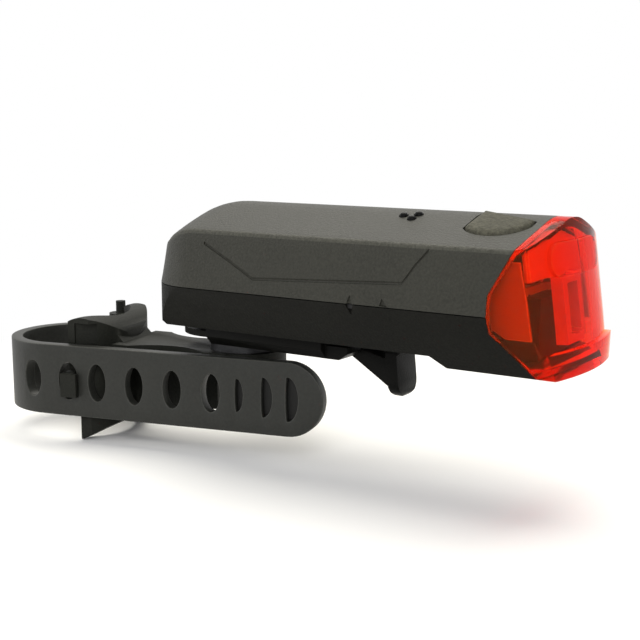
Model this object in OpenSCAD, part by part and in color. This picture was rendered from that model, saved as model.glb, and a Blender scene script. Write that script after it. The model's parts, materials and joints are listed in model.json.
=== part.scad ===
// Bicycle rear light on a rubber-strap seat post bracket.
// The clamp axis is the Z axis, the lens points along +X, and every size is in millimetres.

/* [Clamp] */
// Diameter of the seat post that the saddle and strap hold
post_d = 25.4; // [24:0.1:27.2]
// Gap between the post and the rubber that holds it
clamp_gap = 0.05; // [0.02:0.01:0.08]
// Width of the rubber strap
strap_w = 16.4; // [14:0.2:18]
// Thickness of the rubber strap
strap_t = 2.6; // [2.2:0.1:3]
// Length of the strap's straight run, from where it leaves the post to its end
strap_run = 69; // [62:1:78]
// Spacing of the strap's holes
hole_pitch = 9.5; // [9:0.1:10]
// Height of a strap hole
hole_h = 8.6; // [7.4:0.2:10]
// Width of a strap hole
hole_w = 4.4; // [4:0.1:4.8]
// Number of holes past the hook
tail_holes = 4; // [3:1:5]
// Diameter of the pin that carries the strap's eye
pin_d = 2.4; // [2:0.1:3]

/* [Saddle] */
// Height of the saddle
saddle_h = 28.6; // [26:0.2:32]
// Half width of the saddle across its flat sides
saddle_half_w = 12.1; // [11.9:0.05:12.2]
// Distance from the clamp axis to the horn tips
horn_x = 6.2; // [5.8:0.1:6.6]
// Thickness of the rubber saddle pad
pad_t = 1.45; // [1.2:0.05:1.8]
// Angle of the pad to each side of the middle
pad_angle = 38; // [30:1:42]
// Width of the hook peg along the strap
hook_w = 2.4; // [2:0.1:2.6]
// Height of the hook peg
hook_h = 5.4; // [4:0.2:6.4]

/* [Arm] */
// Distance from the clamp axis to the swivel
arm_l = 46; // [44:0.5:50]
// Thickness of the arm
arm_t = 4.8; // [4:0.2:5.4]
// Height of the arm's top above the strap's middle
arm_top = 8.3; // [7.8:0.1:9]
// Width of the arm's narrow waist
arm_waist = 11.4; // [10:0.2:13]
// Diameter of the arm's round end
arm_end_d = 18.4; // [16:0.2:18.8]
// Angle between the arm and the light as it lies here
swivel_rest = 9; // [4:0.5:14]
// Diameter of the swivel boss
boss_d = 9; // [8:0.1:10]
// Thickness of the spacer washer between arm and clip
washer_t = 2.1; // [1.6:0.1:2.6]

/* [Clip] */
// Length of the clip behind the swivel
clip_back = 2; // [1:0.5:4]
// Length of the clip's channel ahead of the swivel
clip_front = 28; // [27:0.5:29]
// Width of the clip
clip_w = 24; // [23.4:0.2:26]
// Thickness of the clip's floor
clip_floor = 1.2; // [1.1:0.1:1.6]
// Thickness of the rail's flange
rail_t = 1.4; // [1.2:0.1:1.8]
// Width of the rail's flange
rail_w = 20; // [19:0.2:20.2]
// Width of the rail's web
web_w = 14.4; // [13:0.2:15]
// Sliding gap between rail and clip
rail_gap = 0.1; // [0.1:0.05:0.2]
// Thickness of the clip's lips
lip_t = 1; // [0.9:0.1:1.4]
// Width of the release lever's tab
lever_w = 8; // [7:0.2:9]
// Length of the release lever's finger tab below its pivot
tab_drop = 9.6; // [9:0.2:10.6]

/* [Housing] */
// Width of the housing at its parting line
body_w = 39; // [38.6:0.2:41]
// Width of the housing at its bottom
bottom_w = 30; // [29.6:0.2:32]
// Width of the housing at its top edges
top_w = 37; // [36.6:0.2:39]
// Length of the housing behind the swivel
body_back = 15.4; // [14.8:0.2:17]
// Height of the lower shell
lower_h = 9.2; // [9:0.1:10]
// Height of the upper shell at its crest
upper_h = 17.4; // [17:0.1:18]
// Radius of the top's rounded ridge
ridge_r = 16; // [12:0.5:20]
// Slope of the top to each side of the ridge
crown_slope = 17; // [14:0.5:18]
// Radius of the top's fall at the rear end
rear_r = 16.5; // [12:0.5:17]
// Radius of the rear corners in plan
corner_r = 14; // [10:0.5:15]
// Wall of the shells
wall = 2.1; // [1.8:0.1:2.3]
// Depth of the step down to the foot near the lens
foot_drop = 2.2; // [1.6:0.1:2.6]
// Gap between the two shells
part_gap = 0.2; // [0.15:0.05:0.3]
// How far the upper shell slides back
cover_travel = 9; // [8:0.5:10]

/* [Lens] */
// Distance from the swivel to the rim of the lens at the parting line
rim_x = 68.4; // [68:0.2:70]
// Distance from the swivel to the front of the lens at the parting line
lens_front = 79.4; // [78.6:0.2:80.4]
// Radius of the lens front in plan
lens_r = 59; // [50:1:80]
// Lean of the lens front
lens_lean = 8; // [6:0.5:10]
// Wall of the lens
lens_wall = 2; // [1.6:0.1:2.2]
// Reach of the bumper lip past the lens front at the parting line
bumper_reach = 2.2; // [1.8:0.1:2.8]
// Height of the bumper lip
bumper_h = 5; // [4.4:0.2:5.6]

/* [Cells and switch] */
// Diameter of a battery cell
cell_d = 14.5; // [14.1:0.1:14.6]
// Length of a battery cell
cell_l = 50.5; // [49.8:0.1:50.8]
// Thickness of the circuit board
board_t = 1.6; // [1.2:0.1:1.8]
// Radius of the power button's round side
button_r = 7.1; // [6.8:0.1:7.4]
// Length of the power button along the light
button_l = 12.2; // [11.6:0.1:12.6]
// Gap round the power button
button_gap = 0.35; // [0.25:0.05:0.45]
// How far the power button stands above the crown
button_rise = 0.7; // [0.6:0.1:1]
// Travel of the power button
button_travel = 0.6; // [0.4:0.1:0.8]

/* [Hidden] */
$fn = 64;
crown_steps = 6;
fit_gap = 0.05;
seat_gap = 0.1;
free_gap = 0.3;
over = 1;

post_r = post_d / 2 + clamp_gap;
strap_mid_r = post_r + strap_t / 2;
strap_lean = 3.8;
run_start_angle = strap_lean - 90;
bend_hole_turn = -2;
eye_r = 2.9;
pin_angle = 82;
hook_s = 6.8;
hook_hole_w = 5;
knuckle_s = hook_s + 4.1;
first_hole_s = hook_s + 7.4;
knuckle_r = strap_t / 2;
run_lap = 0.2;
run_swell = 0.03;
slit_count = 3;
slit_pitch = 6.2;
slit_w = 2.2;
slit_depth = 1.1;

bore_r = post_r + 0.25;
pin_place_r = bore_r + 0.15 + eye_r;
hook_drop = (hole_h - hook_h) / 4;
hook_reach = strap_t + 0.6;
hook_lip_t = 1.2;
hook_lip_w = 1.6;
hook_lip_gap = 0.4;
saddle_low = -saddle_h / 2;
saddle_top = saddle_h / 2;
ridge_z = saddle_top - 2;
ridge_x = post_r + 0.6;
facet_x = ridge_x + ridge_z - arm_top;
wedge_half = 6.3;
cup_r = post_r + 4.2;
horn_round_r = 7.5;
horn_round_x = horn_x + 3.7;
horn_round_z = saddle_top - horn_round_r;
fin_x = 9.5;
fin_gap = strap_w / 2 + free_gap;
fin_z = -9.9;
arm_low = arm_top - arm_t;
arm_half_w = 9.6;
waist_x = 30.5;
waist_r = 14;
lug_t = 2.4;
lug_z = strap_w / 2 + free_gap;
rib_t = 3;
rib_low = fin_z + 3.4;

pivot_x = arm_l * cos(swivel_rest);
pivot_y = arm_l * sin(swivel_rest);
clip_low = arm_top + fit_gap + washer_t + fit_gap;
channel_low = clip_low + clip_floor;
flange_low = channel_low + rail_gap;
flange_top = flange_low + rail_t;
lip_low = flange_top + rail_gap;
clip_top = lip_low + lip_t;
shell_gap = 0.5;
clip_chamfer = 2;
clip_stop = 1.6;
bottom_z = clip_top + shell_gap;
parting_z = bottom_z + lower_h;
top_z = parting_z + upper_h;
foot_z = bottom_z - foot_drop;
boss_low = arm_low - fit_gap;
screw_d = 3;
screw_head_d = 12;
screw_head_t = 2.2;
rib_end = arm_l - screw_head_d / 2 - 0.6;

lever_x = clip_front + 2.2;
lever_z = clip_low + 1.4;
knuckle_lever_r = 1.4;
trunnion_r = 1;
catch_x = lever_x + 8.4;
catch_l = 3.4;
catch_depth = 1;
tongue_t = 1.6;
tab_t = 2.6;
tab_z = lever_z - tab_drop + tab_t / 2;
tab_lean = 0.8;
gusset_dip = 1.6;
lever_cheek_t = 5.6;
lever_cheek_l = 3;
lever_cheek_gap = 0.5;
trunnion_l = 3;

body_half = body_w / 2;
top_half = top_w / 2;
bottom_half = bottom_w / 2;
body_front = lens_front + 8;
foot_x = rim_x - 10.5;
foot_run = 3.3;
rear_chamfer = 5;
rear_chamfer_h = 4;
rim_top_x = rim_x + 4.6;
rim_top_z = parting_z + 12.4;
rim_corner_z = parting_z + 4;
rim_low_z = parting_z - 3;
rim_foot_x = rim_x + 7.9;
seal_depth = 0.8;
seal_outer = 0.7;
seal_inner = 1.6;

cell_gap = 0.15;
cell_y = cell_d / 2 + cell_gap;
tray_floor = 1;
floor_z = bottom_z + wall;
cell_z = floor_z + free_gap + tray_floor + fit_gap + cell_d / 2;
cell_back = wall + 5.2 - body_back;
cell_front = cell_back + cell_l;
contact_t = 0.6;
contact_w = 9;
spring_l = 5;
tray_end = cell_front + spring_l + contact_t + 2 * seat_gap;
tray_wall = 1.4;
tray_back = cell_back - contact_t - seat_gap - tray_wall;
tray_end_half = cell_y + 5;
tray_end_top = cell_z + 3;

board_x = tray_end + tray_wall + 0.8;
board_front = rim_x + 2.4;
board_half = 14.2;
board_z = parting_z + 2.6;
board_top = board_z + board_t;
screw_x = board_x + 3.4;
screw_y = 10.6;
stud_r = 2.6;
small_screw_r = 1;
small_head_r = 1.9;
small_head_t = 1.3;
small_screw_l = 5;
chip_l = 6;
chip_w = 5;
chip_h = 1.8;
chip_y = 7.2;
coil_w = 4;
coil_gap = 1;
coil_h = 2.6;
capacitor_r = 1.9;
capacitor_h = 3.4;
led_l = 3;
led_w = 5.2;
led_h = 2.4;
led_tip_l = 1;
led_tip_r = 1.1;
bar_w = 8;
bar_t = 2.2;
bar_h = 13;
bar_low = -6.2;
bar_gap = 0.4;
bar_slot_w = 2;
bar_slot_h = 10;
bar_slot_y = 1;
block_half = 8.4;
block_back = rim_x - 3.4;
block_low = floor_z - foot_drop + seat_gap;
block_front = lens_front - (board_z - parting_z) * tan(lens_lean)
    - (lens_wall + bar_gap + bar_t) / cos(lens_lean) - free_gap;

button_x = rim_x - 3.8;
button_y = -5.2;
button_front = rim_x + 2.9;
button_far = 2.2;
button_far_turn = -19;
button_reach_y = abs(button_y) + button_r;
button_axis_x = rim_x - 6;
flange_reach = 1;
button_flange_t = 1.3;
flange_z = crown_z(button_reach_y + flange_reach, wall) - free_gap;
stem_r = 2;
stem_l = 1.2;
stem_low = flange_z - button_flange_t - stem_l;
plunger_r = 1.6;
plunger_top = stem_low - fit_gap;
switch_h = 3.4;
plunger_low = board_top + switch_h - 1.4;

dome_r = 0.95;
dome_places = [[rim_x - 24.9, -5.4], [rim_x - 22.4, -6.7], [rim_x - 22, -4.5]];
tab_places = [7, 31];
guide_l = 8;
guide_h = 2.2;
guide_foot = 0.8;
guide_groove_depth = guide_foot + free_gap;
guide_foot_h = 1.2;
guide_t = 1;
tray_top = parting_z - guide_h - free_gap;

// Height of the crowned top at a distance from the middle, lowered by an inset
function crown_z(y, inset = 0) =
    let (r = ridge_r - inset, side = r * sin(crown_slope))
    abs(y) < side ? top_z - ridge_r + sqrt(r * r - y * y)
    : top_z - ridge_r + r * cos(crown_slope) - (abs(y) - side) * tan(crown_slope);

// Outline of the crowned top from one side to the other, drawn in by an inset
function crown_points(half, inset) = concat(
    [[-half, crown_z(half, inset)]],
    [for (i = [-crown_steps:crown_steps]) let (a = crown_slope * i / crown_steps)
        [(ridge_r - inset) * sin(a), top_z - ridge_r + (ridge_r - inset) * cos(a)]],
    [[half, crown_z(half, inset)]]);

// Half width of the lower shell at a height
function lower_half(z) =
    bottom_half + (body_half - bottom_half) * (z - bottom_z) / lower_h;

// Everything on the light is placed from the swivel axis
module on_light() translate([pivot_x, pivot_y, 0]) children();

// Everything on the bracket turns with the arm
module on_bracket() rotate([0, 0, swivel_rest]) children();

// On the bracket, the strap's straight run lies along X, with its thickness along Y
module on_run()
    rotate([0, 0, run_start_angle])
    translate([strap_mid_r, 0, 0])
    rotate([0, 0, 90])
    children();

// A flat shape in X and Z, extruded to both sides of the middle plane
module across(width) rotate([90, 0, 0]) linear_extrude(width, center = true) children();

// A flat shape in Y and Z, extruded along the light
module along(from, to)
    translate([from, 0, 0]) rotate([90, 0, 90]) linear_extrude(to - from) children();

// A flat shape in X and Y, extruded upward
module upward(from, to) translate([0, 0, from]) linear_extrude(to - from) children();

module ring_2d(inner, outer)
    difference() {
        circle(outer);
        circle(inner);
    }

// A wedge of a circle between two angles less than half a turn apart
module wedge_2d(from, to, reach)
    polygon([[0, 0], for (i = [0:4]) let (a = from + (to - from) * i / 4) [reach * cos(a), reach * sin(a)]]);

module slot_2d(width, height) {
    square([width, height - width], center = true);
    for (side = [-1, 1]) translate([0, side * (height - width) / 2]) circle(width / 2);
}

// A hole through the strap at a distance along its run
module strap_hole(s, width = hole_w)
    translate([s, 0, 0]) across(strap_t + 2 * over) slot_2d(width, hole_h);

// The bracket's saddle, arm, hook and pin lugs
module saddle_base() color("#26262a") on_bracket() difference() {
    union() {
        difference() {
            saddle_block();
            strap_space();
        }
        arm_plate();
        arm_rib();
        strap_hook();
        for (side = [-1, 1]) pin_lug(side);
    }
    translate([0, 0, saddle_low - over]) cylinder(h = saddle_h + 2 * over, r = bore_r);
    pad_recess();
    translate([arm_l, 0, arm_low - over]) cylinder(h = arm_t + 2 * over, d = boss_d + 2 * fit_gap);
    pin_bore();
}

// A cup round the post, with a wedge in its middle that leads down to the arm
module saddle_block() difference() {
    union() {
        intersection() {
            upward(saddle_low, saddle_top) saddle_plan_2d();
            across(3 * saddle_half_w) horn_side_2d();
        }
        across(2 * wedge_half)
            polygon([[horn_x, saddle_low], [horn_x, ridge_z], [ridge_x, ridge_z], [facet_x, arm_top], [facet_x, saddle_low]]);
    }
    across(3 * saddle_half_w)
        polygon([[fin_x, saddle_low - over], [fin_x, saddle_low], [facet_x, fin_z],
            [facet_x + over, fin_z], [facet_x + over, saddle_low - over]]);
    across(3 * saddle_half_w)
        translate([0, saddle_low - over]) square([fin_x - 0.5, over - saddle_low - fin_gap]);
}

module saddle_plan_2d() intersection() {
    circle(cup_r);
    translate([horn_x, -saddle_half_w]) square([cup_r, 2 * saddle_half_w]);
}

// The horns seen from the side, with their rounded tops
module horn_side_2d() {
    translate([horn_x, saddle_low]) square([cup_r, horn_round_z - saddle_low]);
    translate([horn_round_x, horn_round_z]) circle(horn_round_r);
}

module arm_plate() difference() {
    upward(arm_low, arm_top) {
        translate([facet_x - over, -arm_half_w]) square([arm_l - facet_x + over, 2 * arm_half_w]);
        translate([arm_l, 0]) circle(d = arm_end_d);
    }
    for (side = [-1, 1])
        translate([waist_x, side * (arm_waist / 2 + waist_r), arm_low - over])
            cylinder(h = arm_t + 2 * over, r = waist_r);
    translate([arm_l, 0, arm_low - over]) linear_extrude(arm_t + 2 * over) difference() {
        translate([0, -arm_half_w - over]) square([arm_end_d, 2 * (arm_half_w + over)]);
        circle(d = arm_end_d);
    }
}

module arm_rib()
    across(rib_t)
        polygon([[facet_x - over, arm_low + over], [rib_end, arm_low + over], [rib_end, rib_low], [facet_x - over, fin_z + over]]);

// The room beside the saddle that the strap's run lies in
module strap_space()
    on_run()
    translate([-over, -saddle_half_w, -fin_gap])
    cube([strap_run, saddle_half_w + strap_t / 2 + free_gap, 2 * fin_gap]);

// The hook stands on the near side of the saddle, square to the strap's run
module strap_hook()
    on_run()
    translate([hook_s - hook_w / 2, strap_t / 2, -hook_h / 2 - hook_drop]) {
        translate([0, -hook_reach, 0]) cube([hook_w, hook_reach + strap_t, hook_h]);
        translate([0, -strap_t - hook_lip_gap - hook_lip_t, 0]) cube([hook_w + hook_lip_w, hook_lip_t, hook_h]);
    }

module pin_lug(side)
    difference() {
        upward(side * (lug_z + lug_t / 2) - lug_t / 2, side * (lug_z + lug_t / 2) + lug_t / 2) {
            polygon([[horn_x, saddle_half_w - 4], [horn_x + 5, saddle_half_w - 1],
                pin_place_r * [cos(pin_angle), sin(pin_angle)] + eye_r * [0.5, 0.86],
                pin_place_r * [cos(pin_angle), sin(pin_angle)] - eye_r * [0.5, 0.86]]);
            translate(pin_place_r * [cos(pin_angle), sin(pin_angle)]) circle(eye_r);
        }
        translate([0, 0, saddle_low - over]) cylinder(h = saddle_h + 2 * over, r = bore_r);
    }

module pin_bore()
    rotate([0, 0, pin_angle])
    translate([pin_place_r, 0, saddle_low])
    cylinder(h = saddle_h, d = pin_d + 2 * fit_gap);

module pad_recess()
    intersection() {
        upward(-strap_w / 2 - fit_gap, strap_w / 2 + fit_gap)
            ring_2d(bore_r - over, post_r + pad_t + fit_gap);
        upward(-strap_w, strap_w) wedge_2d(-pad_angle - 0.4, pad_angle + 0.4, 2 * post_r);
    }

// The rubber pad that lies in the saddle
module saddle_pad() color("#1b1b1d") on_bracket()
    intersection() {
        upward(-strap_w / 2, strap_w / 2) ring_2d(post_r, post_r + pad_t);
        upward(-strap_w, strap_w) wedge_2d(-pad_angle, pad_angle, 2 * post_r);
    }

// The pin through the strap's eye
module strap_pin() color("#1f1f22") on_bracket()
    rotate([0, 0, pin_angle])
    translate([pin_place_r, 0, -lug_z - lug_t])
    cylinder(h = 2 * (lug_z + lug_t) + 3, d = pin_d);

// The strap from its eye round the post to just past the hook
module strap_loop() color("#3a3a3c") {
    on_bracket() difference() {
        union() {
            rotate([0, 0, pin_angle]) rotate_extrude(angle = 360 + run_start_angle - pin_angle)
                translate([post_r, -strap_w / 2]) square([strap_t, strap_w]);
            rotate([0, 0, pin_angle]) translate([pin_place_r, 0, -strap_w / 2])
                cylinder(h = strap_w, r = eye_r);
        }
        rotate([0, 0, pin_angle]) translate([pin_place_r, 0, -strap_w])
            cylinder(h = 2 * strap_w, d = pin_d + 2 * seat_gap);
        rotate([0, 0, bend_hole_turn]) on_run() strap_hole(-hole_w / 2);
    }
    on_bracket() on_run() difference() {
        translate([-run_lap, -strap_t / 2 - run_swell, -strap_w / 2 - run_swell])
            cube([run_lap + knuckle_s, strap_t + 2 * run_swell, strap_w + 2 * run_swell]);
        strap_hole(hook_s, hook_hole_w);
        translate([knuckle_s, 0, -strap_w]) cylinder(h = 2 * strap_w, r = knuckle_r + seat_gap);
    }
}

// The free tail of the strap, with its holes and its round end
module strap_tail() color("#3a3a3c") on_bracket() on_run() {
    tail_end = strap_run - strap_w / 2;
    difference() {
        union() {
            translate([knuckle_s, 0, -strap_w / 2]) cylinder(h = strap_w, r = knuckle_r);
            translate([knuckle_s, -strap_t / 2, -strap_w / 2])
                cube([tail_end - knuckle_s, strap_t, strap_w]);
            translate([tail_end, 0, 0]) across(strap_t) circle(d = strap_w);
        }
        for (k = [1:tail_holes]) strap_hole(first_hole_s + (k - 1) * hole_pitch);
        for (k = [1:slit_count]) tail_slit(first_hole_s + (tail_holes - 1) * hole_pitch + k * slit_pitch);
    }
}

// A shallow slit across the outer face of the tail
module tail_slit(s)
    translate([s, -strap_t / 2, 0]) across(slit_depth * 2) slot_2d(slit_w, hole_h);

// The channel that the light's rail slides into, with the swivel boss below
module slide_clip() color("#1d1d20") on_light() difference() {
    union() {
        clip_channel();
        translate([0, 0, boss_low]) cylinder(h = clip_low - boss_low + over, d = boss_d);
        for (side = [-1, 1]) lever_cheek(side);
    }
    translate([0, 0, boss_low - over]) cylinder(h = clip_low - boss_low + over + clip_floor - 0.4, d = screw_d);
}

module clip_channel() difference() {
    along(-clip_back, clip_front)
        polygon([[-clip_w / 2, clip_low + clip_chamfer], [-clip_w / 2 + clip_chamfer, clip_low],
            [clip_w / 2 - clip_chamfer, clip_low], [clip_w / 2, clip_low + clip_chamfer],
            [clip_w / 2, clip_top], [-clip_w / 2, clip_top]]);
    along(-clip_back - over, clip_front - clip_stop) {
        translate([-rail_w / 2 - rail_gap, channel_low]) square([rail_w + 2 * rail_gap, lip_low - channel_low]);
        translate([-web_w / 2 - rail_gap, channel_low]) square([web_w + 2 * rail_gap, clip_top]);
    }
}

module lever_cheek(side)
    difference() {
        translate([0, side * (lever_w / 2 + lever_cheek_gap + lever_cheek_t / 2), 0]) across(lever_cheek_t)
            polygon([[clip_front - over, clip_low], [lever_x + trunnion_r, clip_low],
                [lever_x + lever_cheek_l, lever_z], [lever_x + lever_cheek_l, 2 * lever_z - clip_low],
                [clip_front - over, 2 * lever_z - clip_low]]);
        translate([lever_x, side * (lever_w / 2 + trunnion_l / 2), lever_z]) rotate([90, 0, 0])
            cylinder(h = trunnion_l + 2 * free_gap, r = trunnion_r + fit_gap, center = true);
    }

// The washer between arm and clip
module pivot_washer() color("#b8b8b4") on_light()
    translate([0, 0, arm_top + fit_gap]) difference() {
        cylinder(h = washer_t, d = boss_d + 7);
        translate([0, 0, -over]) cylinder(h = washer_t + 2 * over, d = boss_d + 2 * fit_gap);
    }

// The screw that holds the arm on the clip's boss
module pivot_screw() color("#8e8e8c") on_light() {
    shank_top = clip_low + clip_floor - 0.8;
    translate([0, 0, boss_low - fit_gap - screw_head_t]) difference() {
        cylinder(h = screw_head_t, d = screw_head_d);
        translate([0, 0, -over]) cube([screw_head_d * 0.7, 1.2, 2 * over + 0.6], center = true);
        translate([0, 0, -over]) cube([1.2, screw_head_d * 0.7, 2 * over + 0.6], center = true);
    }
    translate([0, 0, boss_low - fit_gap - over / 2])
        cylinder(h = shank_top - boss_low, d = screw_d - 2 * fit_gap);
}

// The sprung lever whose catch holds the light on the clip
module release_lever() color("#17171a") on_light() {
    across(lever_w - 2 * free_gap) {
        translate([lever_x, lever_z]) circle(knuckle_lever_r);
        polygon([[lever_x, lever_z + tongue_t / 2], [catch_x + over, lever_z - gusset_dip],
            [catch_x + over, tab_z + over], [lever_x, lever_z - knuckle_lever_r]]);
        polygon([[catch_x, lever_z - gusset_dip - over], [catch_x, bottom_z + catch_depth - 1.2],
            [catch_x + 1.2, bottom_z + catch_depth], [catch_x + catch_l, bottom_z - 0.6], [catch_x + catch_l, lever_z]]);
    }
    across(lever_w) {
        polygon([[catch_x, lever_z], [catch_x + tab_t, lever_z], [catch_x + tab_t + tab_lean, tab_z], [catch_x + tab_lean, tab_z]]);
        translate([catch_x + tab_t / 2 + tab_lean, tab_z]) circle(tab_t / 2);
    }
    translate([lever_x, 0, lever_z]) rotate([90, 0, 0])
        cylinder(h = lever_w + 2 * trunnion_l, r = trunnion_r, center = true);
}

// The housing's whole outer form, drawn in by an inset
module housing_form(inset) intersection() {
    across(3 * body_w) housing_side_2d(inset);
    along(-2 * body_back, 2 * body_front) housing_section_2d(inset);
    upward(0, 2 * top_z) housing_plan_2d(inset);
}

module housing_side_2d(inset) {
    back = inset - body_back;
    round_r = rear_r - inset;
    difference() {
        polygon([[back, top_z - inset], [back, parting_z - lower_h / 2], [back + 0.8, bottom_z + rear_chamfer_h],
            [back + rear_chamfer, bottom_z + inset], [foot_x - foot_run, bottom_z + inset],
            [foot_x, foot_z + inset], [body_front, foot_z + inset], [body_front, top_z - inset]]);
        translate([back, top_z - inset - round_r]) difference() {
            square(round_r);
            translate([round_r, 0]) circle(round_r);
        }
    }
}

module housing_section_2d(inset) {
    low_half = lower_half(foot_z) - inset;
    polygon(concat([[low_half, foot_z], [-low_half, foot_z], [inset - body_half, parting_z]],
        crown_points(top_half - inset, inset), [[body_half - inset, parting_z]]));
}

module housing_plan_2d(inset) {
    back = inset - body_back;
    half = body_half - inset;
    round_r = corner_r - inset;
    translate([back + round_r, -half]) square([body_front - back - round_r, 2 * half]);
    translate([back, round_r - half]) square([round_r, 2 * (half - round_r)]);
    for (side = [-1, 1]) translate([back + round_r, side * (half - round_r)]) circle(round_r);
}

// The side view of the space ahead of the lens boundary, moved along the light
module lens_side_2d(shift)
    translate([shift, 0])
        polygon([[rim_top_x + 1.3, top_z + 4], [rim_top_x, rim_top_z], [rim_x, rim_corner_z], [rim_x, rim_low_z],
            [rim_foot_x, foot_z], [rim_foot_x + 2, foot_z - 2], [2 * body_front, foot_z - 2], [2 * body_front, top_z + 4]]);

// The lower shell with its rail, guide grooves, board studs and catch pocket
module lower_shell() color("#26262a") on_light() difference() {
    union() {
        difference() {
            intersection() {
                housing_form(0);
                upward(0, parting_z) housing_plan_2d(-over);
            }
            intersection() {
                housing_form(wall);
                upward(0, top_z) housing_plan_2d(wall);
            }
            across(2 * body_w) lens_side_2d(-seat_gap);
            seal_groove();
        }
        rail();
        for (side = [-1, 1]) translate([screw_x, side * screw_y, floor_z - wall / 2])
            cylinder(h = board_z - floor_z + wall / 2, r = stud_r);
    }
    for (side = [-1, 1]) translate([screw_x, side * screw_y, floor_z])
        cylinder(h = board_z, r = small_screw_r);
    for (x = tab_places, side = [-1, 1]) guide_groove(x, side);
    translate([catch_x - 0.6, -lever_w / 2 - 0.2, bottom_z - over])
        cube([catch_l + 1.2, lever_w + 0.4, over + catch_depth + 0.25]);
}

module rail() {
    rail_front = clip_front - clip_stop - 4 * rail_gap;
    nose = rail_w / 2 - body_back + 0.7;
    upward(flange_low, flange_top) {
        translate([nose, -rail_w / 2]) square([rail_front - nose, rail_w]);
        translate([nose, 0]) circle(rail_w / 2);
    }
    upward(flange_top - over / 2, floor_z - wall / 4) {
        translate([nose, -web_w / 2]) square([rail_front - nose, web_w]);
        translate([nose, 0]) circle(web_w / 2);
    }
}

// The groove in the lower shell's wall that a cover guide runs in
module guide_groove(x, side) {
    wall_y = lower_half(parting_z - guide_h) - wall;
    translate([x - cover_travel - free_gap, side * wall_y - guide_groove_depth, parting_z - guide_h - free_gap])
        cube([guide_l + cover_travel + 2 * free_gap, 2 * guide_groove_depth, guide_foot_h + 2 * free_gap]);
}

module seal_groove()
    upward(parting_z - seal_depth, parting_z + over) seal_plan_2d();

module seal_plan_2d()
    difference() {
        housing_plan_2d(seal_outer);
        housing_plan_2d(seal_inner);
        translate([rim_x - 2, -body_w]) square([body_w, 2 * body_w]);
    }

// The rubber seal in the lower shell's edge
module housing_seal() color("#141416") on_light()
    upward(parting_z - seal_depth, parting_z) seal_plan_2d();

// The tray that carries the cells
module battery_tray() color("#2c2c30") on_light() intersection() {
    housing_form(wall + free_gap);
    union() {
        difference() {
            translate([tray_back, -body_half, floor_z]) cube([tray_end + tray_wall - tray_back, body_w, tray_top - floor_z]);
            for (side = [-1, 1]) translate([tray_back + tray_wall, side * cell_y, cell_z]) rotate([0, 90, 0])
                cylinder(h = tray_end - tray_back - tray_wall, d = cell_d + 2 * fit_gap);
        }
        for (x = [tray_back, tray_end]) translate([x, -tray_end_half, floor_z])
            cube([tray_wall, 2 * tray_end_half, tray_end_top - floor_z]);
    }
}

// The two battery cells
module battery_cells() color("#7d8a3c") on_light()
    for (side = [-1, 1]) translate([cell_back, side * cell_y, cell_z]) rotate([0, 90, 0]) {
        cylinder(h = cell_l - 1.2, d = cell_d);
        cylinder(h = cell_l, d = cell_d * 0.38);
    }

// The springs that push the cells back
module battery_springs() color("#c8c8c4") on_light()
    for (side = [-1, 1]) translate([cell_front + seat_gap, side * cell_y, cell_z]) rotate([0, 90, 0])
        difference() {
            cylinder(h = spring_l, d = cell_d * 0.6);
            translate([0, 0, -over]) cylinder(h = spring_l + 2 * over, d = cell_d * 0.48);
        }

// The contact plates at both ends of the cells
module contact_plates() color("#c9b06a") on_light() {
    back_low = tray_top + seat_gap;
    translate([cell_back - contact_t, -cell_y - contact_w / 2, back_low])
        cube([contact_t, 2 * cell_y + contact_w, tray_end_top - back_low]);
    for (side = [-1, 1]) translate([tray_end - contact_t, side * cell_y - contact_w / 2, cell_z - contact_w / 2])
        cube([contact_t, contact_w, contact_w]);
}

// The circuit board on its studs
module circuit_board() color("#b9b9ae") on_light() difference() {
    translate([board_x, -board_half, board_z]) cube([board_front - board_x, 2 * board_half, board_t]);
    for (side = [-1, 1]) translate([screw_x, side * screw_y, board_z - over])
        cylinder(h = board_t + 2 * over, r = small_screw_r + fit_gap);
}

// The two screws that hold the board
module board_screws() color("#a9a9a6") on_light()
    for (side = [-1, 1]) translate([screw_x, side * screw_y, 0]) {
        translate([0, 0, board_top]) cylinder(h = small_head_t, r = small_head_r);
        translate([0, 0, board_z - small_screw_l])
            cylinder(h = small_screw_l + board_t + small_head_t / 2, r = small_screw_r - fit_gap);
    }

// The driver chip, coil and capacitor on the board
module board_components() color("#2a2a2c") on_light() {
    translate([button_axis_x - chip_l / 2, chip_y, board_top]) cube([chip_l, chip_w, chip_h]);
    translate([button_axis_x - chip_l / 2, chip_y - coil_gap - coil_w, board_top]) cube([coil_w, coil_w, coil_h]);
    translate([button_axis_x + chip_l / 2 + capacitor_r, -chip_y - capacitor_r, board_top])
        cylinder(h = capacitor_h, r = capacitor_r);
}

// The body of the push switch
module tact_switch() color("#1c1c1e") on_light() translate([button_axis_x, button_y, board_top]) difference() {
    translate([-3, -3, 0]) cube([6, 6, switch_h]);
    translate([0, 0, plunger_low - button_travel - free_gap - board_top])
        cylinder(h = switch_h, r = plunger_r + fit_gap);
}

// The switch's plunger under the button's stem
module switch_plunger() color("#d8d8d4") on_light()
    translate([button_axis_x, button_y, plunger_low]) cylinder(h = plunger_top - plunger_low, r = plunger_r);

// The light-emitting diode at the front edge of the board
module led_emitter() color("#ffb347") on_light() {
    led_front = board_front - led_tip_l - fit_gap;
    translate([led_front - led_l, -led_w / 2, board_top]) cube([led_l, led_w, led_h]);
    translate([led_front, 0, board_top + led_h / 2]) rotate([0, 90, 0]) cylinder(h = led_tip_l, r = led_tip_r);
}

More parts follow.
